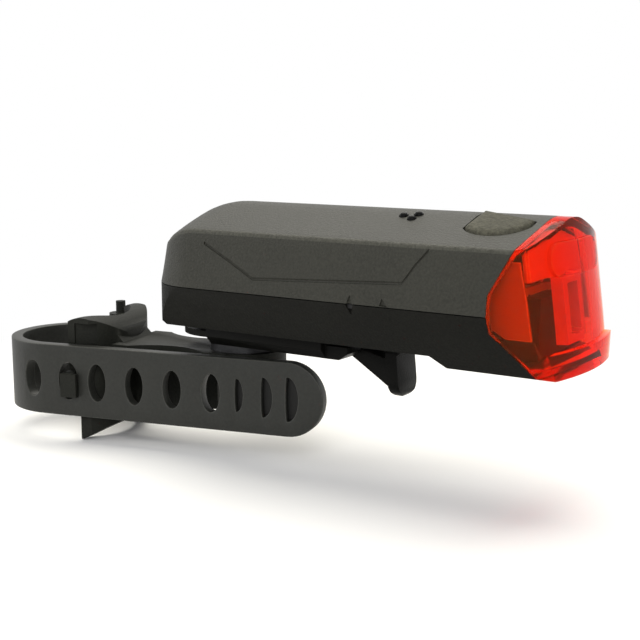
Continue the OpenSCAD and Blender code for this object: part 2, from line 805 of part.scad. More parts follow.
// The clear slotted bar that spreads the light up and down behind the lens front
module light_guide() color("#ff6a2a") on_light()
    translate([lens_front, 0, parting_z]) rotate([0, -lens_lean, 0])
    translate([-lens_wall - bar_gap - bar_t, 0, bar_low]) difference() {
        translate([0, -bar_w / 2, 0]) cube([bar_t, bar_w, bar_h]);
        translate([-over, bar_slot_y - bar_slot_w / 2, bar_h / 2 - bar_slot_h / 2])
            cube([bar_t + 2 * over, bar_slot_w, bar_slot_h]);
    }

// The dark block below the board that carries the light guide
module reflector_block() color("#3a1512") on_light()
    translate([block_back, -block_half, block_low])
        cube([block_front - block_back, 2 * block_half, board_z - seat_gap - block_low]);

// The red lens with its bumper lip
module lens() color("#d8321e", 0.7) on_light() difference() {
    intersection() {
        union() {
            lens_form(0);
            lens_bumper();
        }
        across(2 * body_w) lens_side_2d(0);
    }
    difference() {
        lens_form(lens_wall);
        upward(0, foot_z + bumper_h) translate([lens_front, -body_w]) square(2 * body_w);
    }
}

module lens_form(inset) intersection() {
    housing_form(inset);
    translate([lens_front - inset, 0, parting_z]) rotate([0, -lens_lean, 0])
        upward(-top_z, top_z) lens_plan_2d(inset);
}

// The lens seen from above, with its front at X = 0
module lens_plan_2d(inset) intersection() {
    translate([-lens_r, 0]) circle(lens_r, $fn = 256);
    side_x = lens_front - rim_x;
    polygon([[-4 * side_x, inset - 2 * body_half], [-2 * side_x, inset - body_half - 3], [over, inset - body_half + 2.9],
        [over, body_half - inset - 2.9], [-2 * side_x, body_half - inset + 3], [-4 * side_x, 2 * body_half - inset]]);
}

module lens_bumper() intersection() {
    along(rim_x, body_front) housing_section_2d(0);
    upward(foot_z, foot_z + bumper_h) translate([lens_front + bumper_reach - lens_r, 0])
        circle(lens_r, $fn = 256);
}

// The sliding upper shell with its cover guides
module upper_shell() color("#3a3a3e") on_light() difference() {
    union() {
        difference() {
            intersection() {
                housing_form(0);
                upward(parting_z + part_gap, top_z + over) housing_plan_2d(-over);
            }
            housing_form(wall);
            across(2 * body_w) lens_side_2d(-seat_gap);
        }
        for (x = tab_places, side = [-1, 1]) cover_guide(x, side);
    }
    button_opening();
    for (place = dome_places) translate([place[0], place[1], parting_z + wall])
        cylinder(h = upper_h + over, r = dome_r + fit_gap);
}

// A guide leg inside the cover's wall, with its foot in the lower shell's groove
module cover_guide(x, side) {
    wall_y = lower_half(parting_z - guide_h) - wall;
    leg_y = wall_y - free_gap - guide_t;
    translate([x, side * (leg_y + guide_t / 2) - guide_t / 2, parting_z - guide_h])
        cube([guide_l, guide_t, guide_h + 3]);
    translate([x, side * (leg_y + guide_t / 2) - guide_t / 2, parting_z + part_gap + 1.4])
        translate([0, side * 1.5 - 1.5, 0]) cube([guide_l, 3 + guide_t, 1.6]);
    translate([x, side * (wall_y + (guide_foot - free_gap - guide_t) / 2) - (guide_foot + free_gap + guide_t) / 2,
        parting_z - guide_h])
        cube([guide_l, guide_foot + free_gap + guide_t, guide_foot_h]);
}

// The button lies on one slope of the top: round on its outer side, straight behind and towards the ridge
module button_plan_2d(reach, front_reach) intersection() {
    translate([button_x, button_y]) circle(button_r + reach, $fn = 96);
    translate([button_front - button_l - reach, button_y - 2 * button_r])
        square([button_l + reach + front_reach, 4 * button_r]);
    translate([button_x, button_y + button_far + reach]) rotate(button_far_turn)
        translate([-2 * button_r, -4 * button_r]) square(4 * button_r);
}

module button_opening()
    upward(flange_z - over, top_z + over) button_plan_2d(button_gap, button_gap);

// Three small round indicator windows in the top
module indicator_domes() color("#0e0e10") on_light()
    for (place = dome_places) translate([place[0], place[1], 0]) {
        head_z = crown_z(place[1]) + 0.1;
        translate([0, 0, head_z - wall]) cylinder(h = wall, r = dome_r);
        translate([0, 0, head_z]) intersection() {
            translate([0, 0, -0.3]) sphere(dome_r);
            cylinder(h = dome_r, r = dome_r);
        }
    }

// The soft power button with its flange and stem
module power_button() color("#55554f") on_light() {
    intersection() {
        upward(flange_z - button_flange_t / 2, top_z + 2 * button_rise) button_plan_2d(0, 0);
        along(button_x - 2 * button_r, button_x + 2 * button_r)
            polygon(concat([[button_reach_y + over, parting_z], [-button_reach_y - over, parting_z]],
                crown_points(button_reach_y + over, -button_rise)));
    }
    upward(flange_z - button_flange_t, flange_z) button_plan_2d(flange_reach, -flange_reach);
    translate([button_axis_x, button_y, stem_low]) cylinder(h = flange_z - stem_low, r = stem_r);
}

saddle_base();
saddle_pad();
strap_pin();
strap_loop();
strap_tail();
slide_clip();
pivot_washer();
pivot_screw();
release_lever();
lower_shell();
housing_seal();
battery_tray();
battery_cells();
battery_springs();
contact_plates();
circuit_board();
board_screws();
board_components();
tact_switch();
switch_plunger();
led_emitter();
light_guide();
reflector_block();
lens();
upper_shell();
indicator_domes();
power_button();
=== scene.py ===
# %% [markdown]
# A bicycle rear light on a rubber-strap seat post bracket.
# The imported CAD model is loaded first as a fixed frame. Every new piece is made in that frame, in
# millimetres, and shrunk to metres as its mesh is finished, so it lies exactly where the CAD says.

# %% Load the frame
import json
import math
import bmesh
import bpy
from mathutils import Matrix, Vector


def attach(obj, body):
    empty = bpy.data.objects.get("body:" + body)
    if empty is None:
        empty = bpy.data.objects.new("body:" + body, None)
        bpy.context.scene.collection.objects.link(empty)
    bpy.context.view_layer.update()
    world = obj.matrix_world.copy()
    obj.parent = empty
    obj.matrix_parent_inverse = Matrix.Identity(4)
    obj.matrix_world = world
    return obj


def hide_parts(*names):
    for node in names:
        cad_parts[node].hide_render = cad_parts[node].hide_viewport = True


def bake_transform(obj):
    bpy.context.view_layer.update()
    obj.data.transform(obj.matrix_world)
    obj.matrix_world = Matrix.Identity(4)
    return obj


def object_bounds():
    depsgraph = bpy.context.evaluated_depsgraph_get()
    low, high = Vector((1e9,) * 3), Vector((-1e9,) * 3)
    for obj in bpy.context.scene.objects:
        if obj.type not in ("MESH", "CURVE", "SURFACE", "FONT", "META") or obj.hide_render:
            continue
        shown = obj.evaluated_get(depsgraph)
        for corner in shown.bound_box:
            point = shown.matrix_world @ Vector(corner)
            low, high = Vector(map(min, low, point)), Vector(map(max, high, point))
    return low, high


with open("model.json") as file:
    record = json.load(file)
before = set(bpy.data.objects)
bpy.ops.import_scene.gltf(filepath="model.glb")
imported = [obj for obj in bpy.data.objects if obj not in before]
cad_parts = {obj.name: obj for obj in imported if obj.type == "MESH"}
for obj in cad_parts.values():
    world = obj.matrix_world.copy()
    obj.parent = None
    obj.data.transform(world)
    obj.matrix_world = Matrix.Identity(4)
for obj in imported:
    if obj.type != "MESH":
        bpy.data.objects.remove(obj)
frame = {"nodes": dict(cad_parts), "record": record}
cad_low, cad_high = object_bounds()
MM = 0.001
PIVOT = Vector((45.434, 7.196, 0.0))
ARM_TURN = math.radians(9.0)
print("nodes in the frame:", len(frame["nodes"]))

# %% [markdown]
# The camera stands where the photograph was taken from: to the right of the light and a little above
# it, with a long lens, so that the near side runs gently away from the viewer. Its direction, distance
# and focal length were worked out by matching corners of the model to the photograph.

# %% Camera
VIEW_TURN = math.radians(33.0)
VIEW_RISE = math.radians(9.8)
VIEW_DISTANCE = 0.260
view_target = Vector((0.0655, 0.0072, 0.0164))
view_back = Vector((math.sin(VIEW_TURN) * math.cos(VIEW_RISE),
                    -math.cos(VIEW_TURN) * math.cos(VIEW_RISE),
                    math.sin(VIEW_RISE)))
camera_data = bpy.data.cameras.new("photo_camera")
camera_data.lens = 67.5
camera_data.sensor_width = 36.0
camera_data.clip_start = 0.01
camera = bpy.data.objects.new("photo_camera", camera_data)
camera.location = view_target + view_back * VIEW_DISTANCE
camera.rotation_mode = "QUATERNION"
camera.rotation_quaternion = (-view_back).to_track_quat("-Z", "Y")
bpy.context.scene.collection.objects.link(camera)
bpy.context.scene.camera = camera
print("camera at", tuple(round(c, 3) for c in camera.location))

# %% [markdown]
# Three lamps light the object. A broad, slightly warm one hangs above and behind it, so that the top of
# the housing is paler than its side, and two weaker ones fill the near side. An area lamp shines from a
# whole disk, which makes soft shadows, and each is turned to face the middle of the view.

# %% Lamps
WARM_WHITE = (1.0, 0.965, 0.87)
scene = bpy.context.scene
scene.view_settings.view_transform = "Standard"


def area_lamp(name, place, aim, size, watts):
    """A round lamp at a place, turned to face an aim."""
    data = bpy.data.lights.new(name, "AREA")
    data.shape = "DISK"
    data.size = size
    data.energy = watts
    lamp = bpy.data.objects.new(name, data)
    lamp.location = place
    lamp.rotation_mode = "QUATERNION"
    lamp.rotation_quaternion = (Vector(aim) - Vector(place)).to_track_quat("-Z", "Y")
    scene.collection.objects.link(lamp)
    return lamp


top_lamp = area_lamp("lamp_top", (-0.05, 0.22, 0.62), view_target, 0.80, 6.0)
top_lamp.data.color = WARM_WHITE
area_lamp("lamp_front", (0.36, -0.50, 0.30), view_target, 0.40, 2.6)
area_lamp("lamp_left", (-0.55, -0.30, 0.22), view_target, 0.35, 1.5)
print("the top lamp is", top_lamp.data.size, "m wide")

# %% [markdown]
# The surroundings are white for the camera, for reflections and for what is seen through the lens, but
# dimmer as a lamp, so that they don't wash out the shadows. The Light Path node tells which kind of ray
# is asking, and a Mix Shader shows it the white or the dim shader.

# %% White surroundings
WORLD_DIM = 0.30


def light_path_white(tree, dim_shader, join_out, far_mask=None):
    """Shows plain white to the camera and to mirror and clear surfaces, and the dim shader to the rest."""
    nodes = tree.nodes
    path = nodes.new("ShaderNodeLightPath")
    seen = nodes.new("ShaderNodeMath")
    seen.operation = "MAXIMUM"
    tree.links.new(path.outputs["Is Camera Ray"], seen.inputs[0])
    tree.links.new(path.outputs["Is Transmission Ray"], seen.inputs[1])
    also = nodes.new("ShaderNodeMath")
    also.operation = "MAXIMUM"
    tree.links.new(seen.outputs[0], also.inputs[0])
    tree.links.new(path.outputs["Is Glossy Ray"], also.inputs[1])
    mix = nodes.new("ShaderNodeMixShader")
    whiten = also.outputs[0]
    if far_mask is not None:
        masked = nodes.new("ShaderNodeMath")
        masked.operation = "MULTIPLY"
        tree.links.new(whiten, masked.inputs[0])
        tree.links.new(far_mask, masked.inputs[1])
        whiten = masked.outputs[0]
    tree.links.new(whiten, mix.inputs[0])
    tree.links.new(dim_shader.outputs[0], mix.inputs[1])
    white = nodes.new("ShaderNodeBackground" if join_out.bl_idname == "ShaderNodeOutputWorld"
                      else "ShaderNodeEmission")
    white.inputs["Color"].default_value = (1, 1, 1, 1)
    white.inputs["Strength"].default_value = 1.0
    tree.links.new(white.outputs[0], mix.inputs[2])
    tree.links.new(mix.outputs[0], join_out.inputs["Surface"])


world = bpy.data.worlds.new("studio")
scene.world = world
world.use_nodes = True
world_tree = world.node_tree
world_dim = world_tree.nodes["Background"]
world_dim.inputs["Color"].default_value = (1, 1, 1, 1)
world_dim.inputs["Strength"].default_value = WORLD_DIM
light_path_white(world_tree, world_dim, world_tree.nodes["World Output"])
print("strength of the surroundings as a lamp:", WORLD_DIM)

# %% [markdown]
# The floor is a large disk just below the object. Near the object it is painted and takes the shadow.
# Farther out it turns to the same white as the surroundings, so that no horizon shows.

# %% Floor
FLOOR_Z = cad_low.z - 0.0002
FLOOR_R = 3.0
FADE_MIDDLE = (0.06, 0.01, FLOOR_Z)
FADE_FROM = 0.07
FADE_TO = 0.17
floor_bm = bmesh.new()
bmesh.ops.create_circle(floor_bm, cap_ends=True, segments=64, radius=FLOOR_R,
                        matrix=Matrix.Translation((0, 0, FLOOR_Z)))
floor_mesh = bpy.data.meshes.new("floor")
floor_bm.to_mesh(floor_mesh)
floor_bm.free()
floor = bpy.data.objects.new("floor", floor_mesh)
scene.collection.objects.link(floor)
floor_paint = bpy.data.materials.new("floor_paint")
floor_paint.use_nodes = True
floor_shader = floor_paint.node_tree.nodes["Principled BSDF"]
floor_shader.inputs["Base Color"].default_value = (0.93, 0.93, 0.93, 1)
floor_shader.inputs["Roughness"].default_value = 0.9
floor_tree = floor_paint.node_tree
floor_place = floor_tree.nodes.new("ShaderNodeTexCoord")
floor_shift = floor_tree.nodes.new("ShaderNodeVectorMath")
floor_shift.operation = "DISTANCE"
floor_shift.inputs[1].default_value = FADE_MIDDLE
floor_tree.links.new(floor_place.outputs["Object"], floor_shift.inputs[0])
floor_fade = floor_tree.nodes.new("ShaderNodeMapRange")
floor_fade.interpolation_type = "SMOOTHSTEP"
floor_fade.inputs["From Min"].default_value = FADE_FROM
floor_fade.inputs["From Max"].default_value = FADE_TO
floor_tree.links.new(floor_shift.outputs["Value"], floor_fade.inputs["Value"])
light_path_white(floor_tree, floor_shader, floor_tree.nodes["Material Output"],
                 floor_fade.outputs["Result"])
floor_mesh.materials.append(floor_paint)
print("floor at", round(FLOOR_Z / MM, 2), "mm")

# %% [markdown]
# Moulded plastic and rubber are never one flat colour. A tool-etched grain catches the light in tiny
# specks, and the tone drifts a little over the surface. One node group makes both from Object
# coordinates, and each material uses it with its own scale, so the grain stays the same real size.
# It puts out the grain's height, a tone that mixes specks with the slow drift, and a mask of scuffs.

# %% Grain group
def new_group(name, inputs, outputs):
    """An empty node group with its named inputs and outputs."""
    group = bpy.data.node_groups.new(name, "ShaderNodeTree")
    for label, value in inputs:
        socket = group.interface.new_socket(label, in_out="INPUT", socket_type="NodeSocketFloat")
        socket.default_value = value
    for label in outputs:
        group.interface.new_socket(label, in_out="OUTPUT", socket_type="NodeSocketFloat")
    enter = group.nodes.new("NodeGroupInput")
    leave = group.nodes.new("NodeGroupOutput")
    return group, enter, leave


def noise_node(group, place, scale_socket, detail, roughness):
    """A noise texture in a group, fed with a place and a scale."""
    noise = group.nodes.new("ShaderNodeTexNoise")
    noise.inputs["Detail"].default_value = detail
    noise.inputs["Roughness"].default_value = roughness
    group.links.new(place, noise.inputs["Vector"])
    group.links.new(scale_socket, noise.inputs["Scale"])
    return noise


grain_group, grain_in, grain_out = new_group(
    "moulded_grain", [("Grain Scale", 2600.0), ("Drift Scale", 60.0)], ["Grain", "Tone", "Scuff"])
grain_place = grain_group.nodes.new("ShaderNodeTexCoord").outputs["Object"]
fine = noise_node(grain_group, grain_place, grain_in.outputs["Grain Scale"], 3.0, 0.6)
drift = noise_node(grain_group, grain_place, grain_in.outputs["Drift Scale"], 4.0, 0.55)
scuff_noise = noise_node(grain_group, grain_place, grain_in.outputs["Drift Scale"], 8.0, 0.75)
scuff = grain_group.nodes.new("ShaderNodeMapRange")
scuff.inputs["From Min"].default_value = 0.60
scuff.inputs["From Max"].default_value = 0.78
grain_group.links.new(scuff_noise.outputs["Fac"], scuff.inputs["Value"])
fine_spread = grain_group.nodes.new("ShaderNodeMapRange")
fine_spread.inputs["From Min"].default_value = 0.32
fine_spread.inputs["From Max"].default_value = 0.68
grain_group.links.new(fine.outputs["Fac"], fine_spread.inputs["Value"])
tone_sum = grain_group.nodes.new("ShaderNodeMath")
tone_sum.operation = "ADD"
grain_group.links.new(fine_spread.outputs["Result"], tone_sum.inputs[0])
grain_group.links.new(drift.outputs["Fac"], tone_sum.inputs[1])
tone_half = grain_group.nodes.new("ShaderNodeMath")
tone_half.operation = "MULTIPLY"
tone_half.inputs[1].default_value = 0.5
grain_group.links.new(tone_sum.outputs[0], tone_half.inputs[0])
grain_group.links.new(fine_spread.outputs["Result"], grain_out.inputs["Grain"])
grain_group.links.new(tone_half.outputs[0], grain_out.inputs["Tone"])
grain_group.links.new(scuff.outputs["Result"], grain_out.inputs["Scuff"])
print("grain group with", len(grain_group.nodes), "nodes")

# %% [markdown]
# Each finish is a Principled shader fed by that group: the tone mixes two close colours, the scuffs
# lift the roughness, and the grain goes through a Bump node. What is the same all over the piece, such as
# the strength of its gloss, is set on the shader itself. Two marks that the pieces carry as attributes
# join in, both painted light: rounded edges are painted paler in patches as a painted highlight, and the
# walls of recesses are painted dark as painted shade.

# %% Finish helper
# Rounded edges are painted this many times as pale, a painted highlight along them.
EDGE_HIGHLIGHT_GAIN = 2.4
# Recess walls are painted down to this share of the tone, as painted shade.
RECESS_SHADE_SHARE = 0.15
BUMP_STRENGTH = 0.6
FINISHES = {}


def add(tree, kind):
    """Adds a node of a kind to a node tree."""
    return tree.nodes.new(kind)


def tinted(tree, base, factor, colour):
    """Mixes a colour over a base by a factor, and returns the socket of the mixed colour."""
    mix = add(tree, "ShaderNodeMix")
    mix.data_type = "RGBA"
    mix.inputs["B"].default_value = (*colour, 1)
    tree.links.new(factor, mix.inputs["Factor"])
    tree.links.new(base, mix.inputs["A"])
    return mix.outputs["Result"]


def finish(name, tone, dark_share, rough, rough_spread, grain, drift=60.0, depth=0.02, **sockets):
    """Stores a moulded finish: its tone, how far the drift darkens it, its roughness and its grain."""
    material = bpy.data.materials.new(name)
    material.use_nodes = True
    tree = material.node_tree
    shader = tree.nodes["Principled BSDF"]
    group = add(tree, "ShaderNodeGroup")
    group.node_tree = grain_group
    group.inputs["Grain Scale"].default_value = grain
    group.inputs["Drift Scale"].default_value = drift
    mix = add(tree, "ShaderNodeMix")
    mix.data_type = "RGBA"
    mix.inputs["A"].default_value = (*[c * dark_share for c in tone], 1)
    mix.inputs["B"].default_value = (*[c * (2 - dark_share) for c in tone], 1)
    tree.links.new(group.outputs["Tone"], mix.inputs["Factor"])
    # Painted highlight: faces marked on rounded edges are mixed towards a paler tone, in patches.
    edge_highlight = add(tree, "ShaderNodeAttribute")
    edge_highlight.attribute_name = "edge_highlight"
    patches = add(tree, "ShaderNodeMath")
    patches.operation = "MULTIPLY"
    tree.links.new(edge_highlight.outputs["Fac"], patches.inputs[0])
    tree.links.new(group.outputs["Tone"], patches.inputs[1])
    edge_highlight_tone = [min(1.0, c * EDGE_HIGHLIGHT_GAIN) for c in tone]
    paler = tinted(tree, mix.outputs["Result"], patches.outputs[0], edge_highlight_tone)
    # Painted shade: faces marked as recess shade are mixed towards a dark tone.
    recess_shade = add(tree, "ShaderNodeAttribute")
    recess_shade.attribute_name = "recess_shade"
    darker = tinted(tree, paler, recess_shade.outputs["Fac"], [c * RECESS_SHADE_SHARE for c in tone])
    tree.links.new(darker, shader.inputs["Base Color"])
    spread = add(tree, "ShaderNodeMapRange")
    spread.inputs["To Min"].default_value = rough
    spread.inputs["To Max"].default_value = rough + rough_spread
    tree.links.new(group.outputs["Scuff"], spread.inputs["Value"])
    tree.links.new(spread.outputs["Result"], shader.inputs["Roughness"])
    bump = add(tree, "ShaderNodeBump")
    bump.inputs["Strength"].default_value = BUMP_STRENGTH
    bump.inputs["Distance"].default_value = depth * MM
    tree.links.new(group.outputs["Grain"], bump.inputs["Height"])
    tree.links.new(bump.outputs["Normal"], shader.inputs["Normal"])
    for label, value in sockets.items():
        shader.inputs[label.replace("_", " ").title().replace("Ior", "IOR")].default_value = value
    FINISHES[name] = material


# The paler rounded edge is a painted highlight.
print("a worn edge is", EDGE_HIGHLIGHT_GAIN, "times as pale")

# %% [markdown]
# The finishes of the light: a grey-black grained plastic for the housing, a smoother black for the clip
# and lever, satin rubber for strap and pad, and a soft warm grey rubber for the button. The lens is clear
# plastic dyed through, so its red comes from absorption inside the wall: where the eye looks along a wall
# or through the thick lip, the red is deeper. Screws and washer are blackened steel.

# %% Finishes
LENS_DYE = (0.985, 0.62, 0.02, 1)
LENS_DENSITY = 900.0
finish("shell_plastic", (0.027, 0.0268, 0.0215), 0.62, 0.50, 0.12, 2100, depth=0.10,
       specular_ior_level=0.16)
# The lower shell's copy of the housing plastic is a third as bright: painted shade, for its sides lean
# inwards and face a little downwards.
finish("shell_plastic_low", (0.0085, 0.0085, 0.0072), 0.62, 0.54, 0.12, 2100, depth=0.08,
       specular_ior_level=0.06)
finish("bracket_plastic", (0.013, 0.0135, 0.011), 0.70, 0.52, 0.14, 2000, depth=0.04,
       specular_ior_level=0.09)
finish("clip_plastic", (0.0030, 0.0030, 0.0026), 0.70, 0.36, 0.12, 2200, depth=0.025,
       specular_ior_level=0.06)
finish("strap_rubber", (0.019, 0.0195, 0.017), 0.78, 0.48, 0.14, 1500, 90, 0.03,
       specular_ior_level=0.24)
finish("pad_rubber", (0.012, 0.012, 0.011), 0.82, 0.66, 0.12, 1600, 90, 0.04,
       specular_ior_level=0.30)
finish("seal_rubber", (0.008, 0.008, 0.008), 0.82, 0.62, 0.12, 1800, 90, 0.02,
       specular_ior_level=0.30)
finish("button_rubber", (0.064, 0.062, 0.046), 0.35, 0.66, 0.14, 1500, 260, 0.22,
       specular_ior_level=0.10)
finish("dome_plastic", (0.003, 0.003, 0.003), 0.80, 0.22, 0.08, 1500, depth=0.004,
       specular_ior_level=0.10)
finish("block_plastic", (0.020, 0.006, 0.005), 0.80, 0.42, 0.12, 1800, depth=0.02,
       specular_ior_level=0.10)
finish("inner_plastic", (0.33, 0.32, 0.29), 0.84, 0.50, 0.12, 1800, depth=0.03)
finish("chip_plastic", (0.018, 0.018, 0.019), 0.86, 0.45, 0.10, 2600, depth=0.015)
finish("plunger_plastic", (0.66, 0.66, 0.62), 0.94, 0.36, 0.10, 1500, depth=0.01)
finish("board", (0.74, 0.71, 0.60), 0.90, 0.44, 0.10, 3000, 200, 0.01)
finish("cell_jacket", (0.16, 0.19, 0.06), 0.90, 0.28, 0.10, 900, 40, 0.01)
finish("steel", (0.050, 0.050, 0.052), 0.80, 0.42, 0.16, 2600, 150, 0.02, metallic=1.0)
finish("spring_steel", (0.58, 0.58, 0.56), 0.90, 0.24, 0.14, 2600, 150, 0.015, metallic=1.0)
finish("contact_brass", (0.66, 0.47, 0.18), 0.86, 0.30, 0.16, 2600, 150, 0.015, metallic=1.0)
finish("lens_red", (0.97, 0.34, 0.11), 0.98, 0.05, 0.06, 700, 60, 0.006,
       transmission_weight=0.97, ior=1.08)
finish("guide_clear", (0.96, 0.40, 0.14), 0.92, 0.14, 0.08, 700, 90, 0.006,
       transmission_weight=0.15, ior=1.45)
finish("led", (0.95, 0.50, 0.10), 0.94, 0.14, 0.08, 900, 90, 0.006, transmission_weight=0.3)
lens_tree = FINISHES["lens_red"].node_tree
absorb = add(lens_tree, "ShaderNodeVolumeAbsorption")
absorb.inputs["Color"].default_value = LENS_DYE
absorb.inputs["Density"].default_value = LENS_DENSITY
lens_tree.links.new(absorb.outputs["Volume"], lens_tree.nodes["Material Output"].inputs["Volume"])
node_slots = {part["node"]: part["material_slot"] for part in frame["record"]["subparts"]}
for node_name, node_object in frame["nodes"].items():
    node_object.data.materials.clear()
    node_object.data.materials.append(FINISHES[node_slots[node_name]])
print("finishes:", len(FINISHES))

# %% [markdown]
# Every new piece ends the same way: its bmesh is moved into the frame, shrunk to metres, shaded smooth
# with its sharp edges kept and given a finish, and the CAD solids it stands for are hidden. Pieces of the
# light are drawn from the swivel axis, and pieces of the bracket turn with its arm.

# %% Piece helpers
def on_light(bm):
    """Moves a shape drawn from the swivel's axis to its place in the frame."""
    bmesh.ops.translate(bm, vec=PIVOT, verts=bm.verts)


def on_bracket(bm):
    """Turns a shape of the bracket with its arm."""
    bmesh.ops.rotate(bm, cent=(0, 0, 0), matrix=Matrix.Rotation(ARM_TURN, 3, "Z"), verts=bm.verts)


def open_edges(bm):
    """How many edges don't have exactly two faces, which a closed shape has none of."""
    return sum(not e.is_manifold for e in bm.edges)


def hand_over(bm, name, slot_name, nodes, sharp=38.0):
    """Makes the object of a finished bmesh, which stands for the named CAD nodes."""
    bmesh.ops.scale(bm, vec=(MM, MM, MM), verts=bm.verts)
    for face in bm.faces:
        face.smooth = True
    for edge in bm.edges:
        edge.smooth = edge.calc_face_angle(0.0) < math.radians(sharp)
    loose_edges = open_edges(bm)
    volume = bm.calc_volume(signed=True) / MM ** 3
    mesh = bpy.data.meshes.new(name)
    bm.to_mesh(mesh)
    bm.free()
    mesh.materials.append(FINISHES[slot_name])
    piece = bpy.data.objects.new(name, mesh)
    scene.collection.objects.link(piece)
    if nodes:
        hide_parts(*nodes)
    print(name, "has", len(mesh.polygons), "faces,", round(volume), "cubic mm, open edges", loose_edges)
    return piece


print("the light's pieces are drawn from", tuple(round(c, 1) for c in PIVOT), "mm")

# %% [markdown]
# Three tools shape most pieces. A prism is a flat outline that is extruded along Z and turned into place.
# Cuts and joins are made with a Boolean modifier on two loose objects, which is the steadiest way to
# pierce a curved wall. A bevel rounds the edges, because a moulding is never dead sharp.

# %% Shape helpers
def boolean(bm, tool, operation):
    """Cuts, joins or crosses one bmesh with another and returns the result."""
    loose = []
    for shape in (bm, tool):
        mesh = bpy.data.meshes.new("loose")
        shape.to_mesh(mesh)
        shape.free()
        loose.append(bpy.data.objects.new("loose", mesh))
        scene.collection.objects.link(loose[-1])
    modifier = loose[0].modifiers.new("boolean", "BOOLEAN")
    modifier.operation = operation
    modifier.solver = "EXACT"
    modifier.object = loose[1]
    result = bmesh.new()
    result.from_object(loose[0], bpy.context.evaluated_depsgraph_get())
    for shape in loose:
        mesh = shape.data
        bpy.data.objects.remove(shape)
        bpy.data.meshes.remove(mesh)
    return result


def prism(outline, from_height, to_height, turn=None):
    """A flat outline in X and Y, extruded along Z, then turned by a matrix."""
    bm = bmesh.new()
    face = bm.faces.new([bm.verts.new((x, y, from_height)) for x, y in outline])
    raised = bmesh.ops.extrude_face_region(bm, geom=[face])
    lifted = [v for v in raised["geom"] if isinstance(v, bmesh.types.BMVert)]
    bmesh.ops.translate(bm, vec=(0, 0, to_height - from_height), verts=lifted)
    bmesh.ops.recalc_face_normals(bm, faces=bm.faces)
    if turn is not None:
        bmesh.ops.transform(bm, matrix=turn, verts=bm.verts)
    return bm


def sharp_edges(bm, degrees):
    """The edges whose two faces meet at more than an angle."""
    return [e for e in bm.edges if e.is_manifold and e.calc_face_angle(0.0) > math.radians(degrees)]


def round_edges(bm, edges, offset, segments):
    """Rounds edges, and marks the new faces for the finish's painted highlight."""
    edge_highlight = bm.faces.layers.float.get("edge_highlight") or bm.faces.layers.float.new("edge_highlight")
    made = bmesh.ops.bevel(bm, geom=edges, offset=offset, offset_type="OFFSET", segments=segments,
                           profile=0.5, affect="EDGES", material=-1, clamp_overlap=True)
    for face in made["faces"]:
        face[edge_highlight] = 1.0


print("helpers for cuts and joins, prisms and rounded edges are ready")

# %% [markdown]
# The strap is one flat rubber strip with oval holes, bent round the seat post. It is easiest to draw
# flat: each hole is a ring of points bridged to the edge of its own stretch of strip, and plain stretches
# go between. The sheet is then made thick, its rims are rounded, and last every point is wound onto the
# post, so that the holes bend with the strip.

# %% Strap stretches
STRAP_HALF = 8.2
STRAP_T = 2.6
POST_R = 12.75
STRAP_MID_R = POST_R + STRAP_T / 2
RUN_ANGLE = math.radians(-86.2)
PIN_ANGLE = math.radians(82.0)
ARC_L = STRAP_MID_R * (2 * math.pi + RUN_ANGLE - PIN_ANGLE)
RING = 48
TAIL_ROUND = 60.8
HOLE_W = 4.4
HOLE_H = 8.6
HOLE_STEP = 9.5
HOOK_HOLE_W = 5.0
hole_sizes = [(-2.7, HOLE_W), (6.8, HOOK_HOLE_W)] + [(14.2 + HOLE_STEP * k, HOLE_W) for k in range(4)]
hole_spans = [(-5.4, 0.0), (3.3, 10.0), (11.8, 18.95), (18.95, 28.45), (28.45, 37.95), (37.95, 45.8)]
plain_spans = [(-ARC_L, -5.4, 36), (0.0, 3.3, 3), (10.0, 11.8, 8)]
mark_spans = [(45.8, 52.0), (52.0, 58.2), (58.2, None)]
mark_heights = [7.4, 8.8, 9.8]
mark_widths = [1.5, 2.2, 2.5]
MARK_BACK = 0.35
MARK_DEPTH = 1.3


def boundary(x, z, low, high):
    """Sends a point of a circle to the edge of a stretch of strip: square, or round at the tail's end."""
    if high is None and x > 0:
        return x * STRAP_HALF, z * STRAP_HALF
    reach = max(abs(x), abs(z))
    return x / reach * (-low if x < 0 else high or 0), z / reach * STRAP_HALF


def edges_of(verts):
    """The edges at some points, each once and always in the same order."""
    return list(dict.fromkeys(edge for vert in verts for edge in vert.link_edges))


def ring_stretch(bm, centre, low, high, width_left, width_right, height, closed):
    """A stretch of strip round an oval, which is left open as a hole or closed as a mark."""
    inner = bmesh.ops.create_circle(bm, segments=RING, radius=1.0)["verts"]
    outer = bmesh.ops.create_circle(bm, segments=RING, radius=1.0)["verts"]
    for vert in outer:
        x, z = boundary(vert.co.x, vert.co.y, low - centre, None if high is None else high - centre)
        vert.co = (centre + x, STRAP_T / 2, z)
    for vert in inner:
        width = width_left if vert.co.x < 0 else width_right
        vert.co = (centre + vert.co.x * width, STRAP_T / 2, vert.co.y * height / 2)
    bmesh.ops.bridge_loops(bm, edges=edges_of(inner + outer))
    if closed:
        bm.faces.new(inner)


def plain_stretch(bm, low, high, count):
    """A stretch of strip without a hole, as a grid whose rows meet the points of its neighbours."""
    rows = RING // 8
    made = bmesh.ops.create_grid(bm, x_segments=count, y_segments=2 * rows, size=1.0)["verts"]
    for vert in made:
        row = math.tan(math.radians(45.0) * vert.co.y)
        vert.co = (low + (vert.co.x + 1) / 2 * (high - low), STRAP_T / 2, row * STRAP_HALF)


print("the strap has", len(hole_sizes), "holes and", len(mark_spans), "marks")

# %% [markdown]
# The stretches are laid end to end, and points that fall together at their seams are merged. All faces are
# then turned to look outwards, so that the sheet has one outer side.

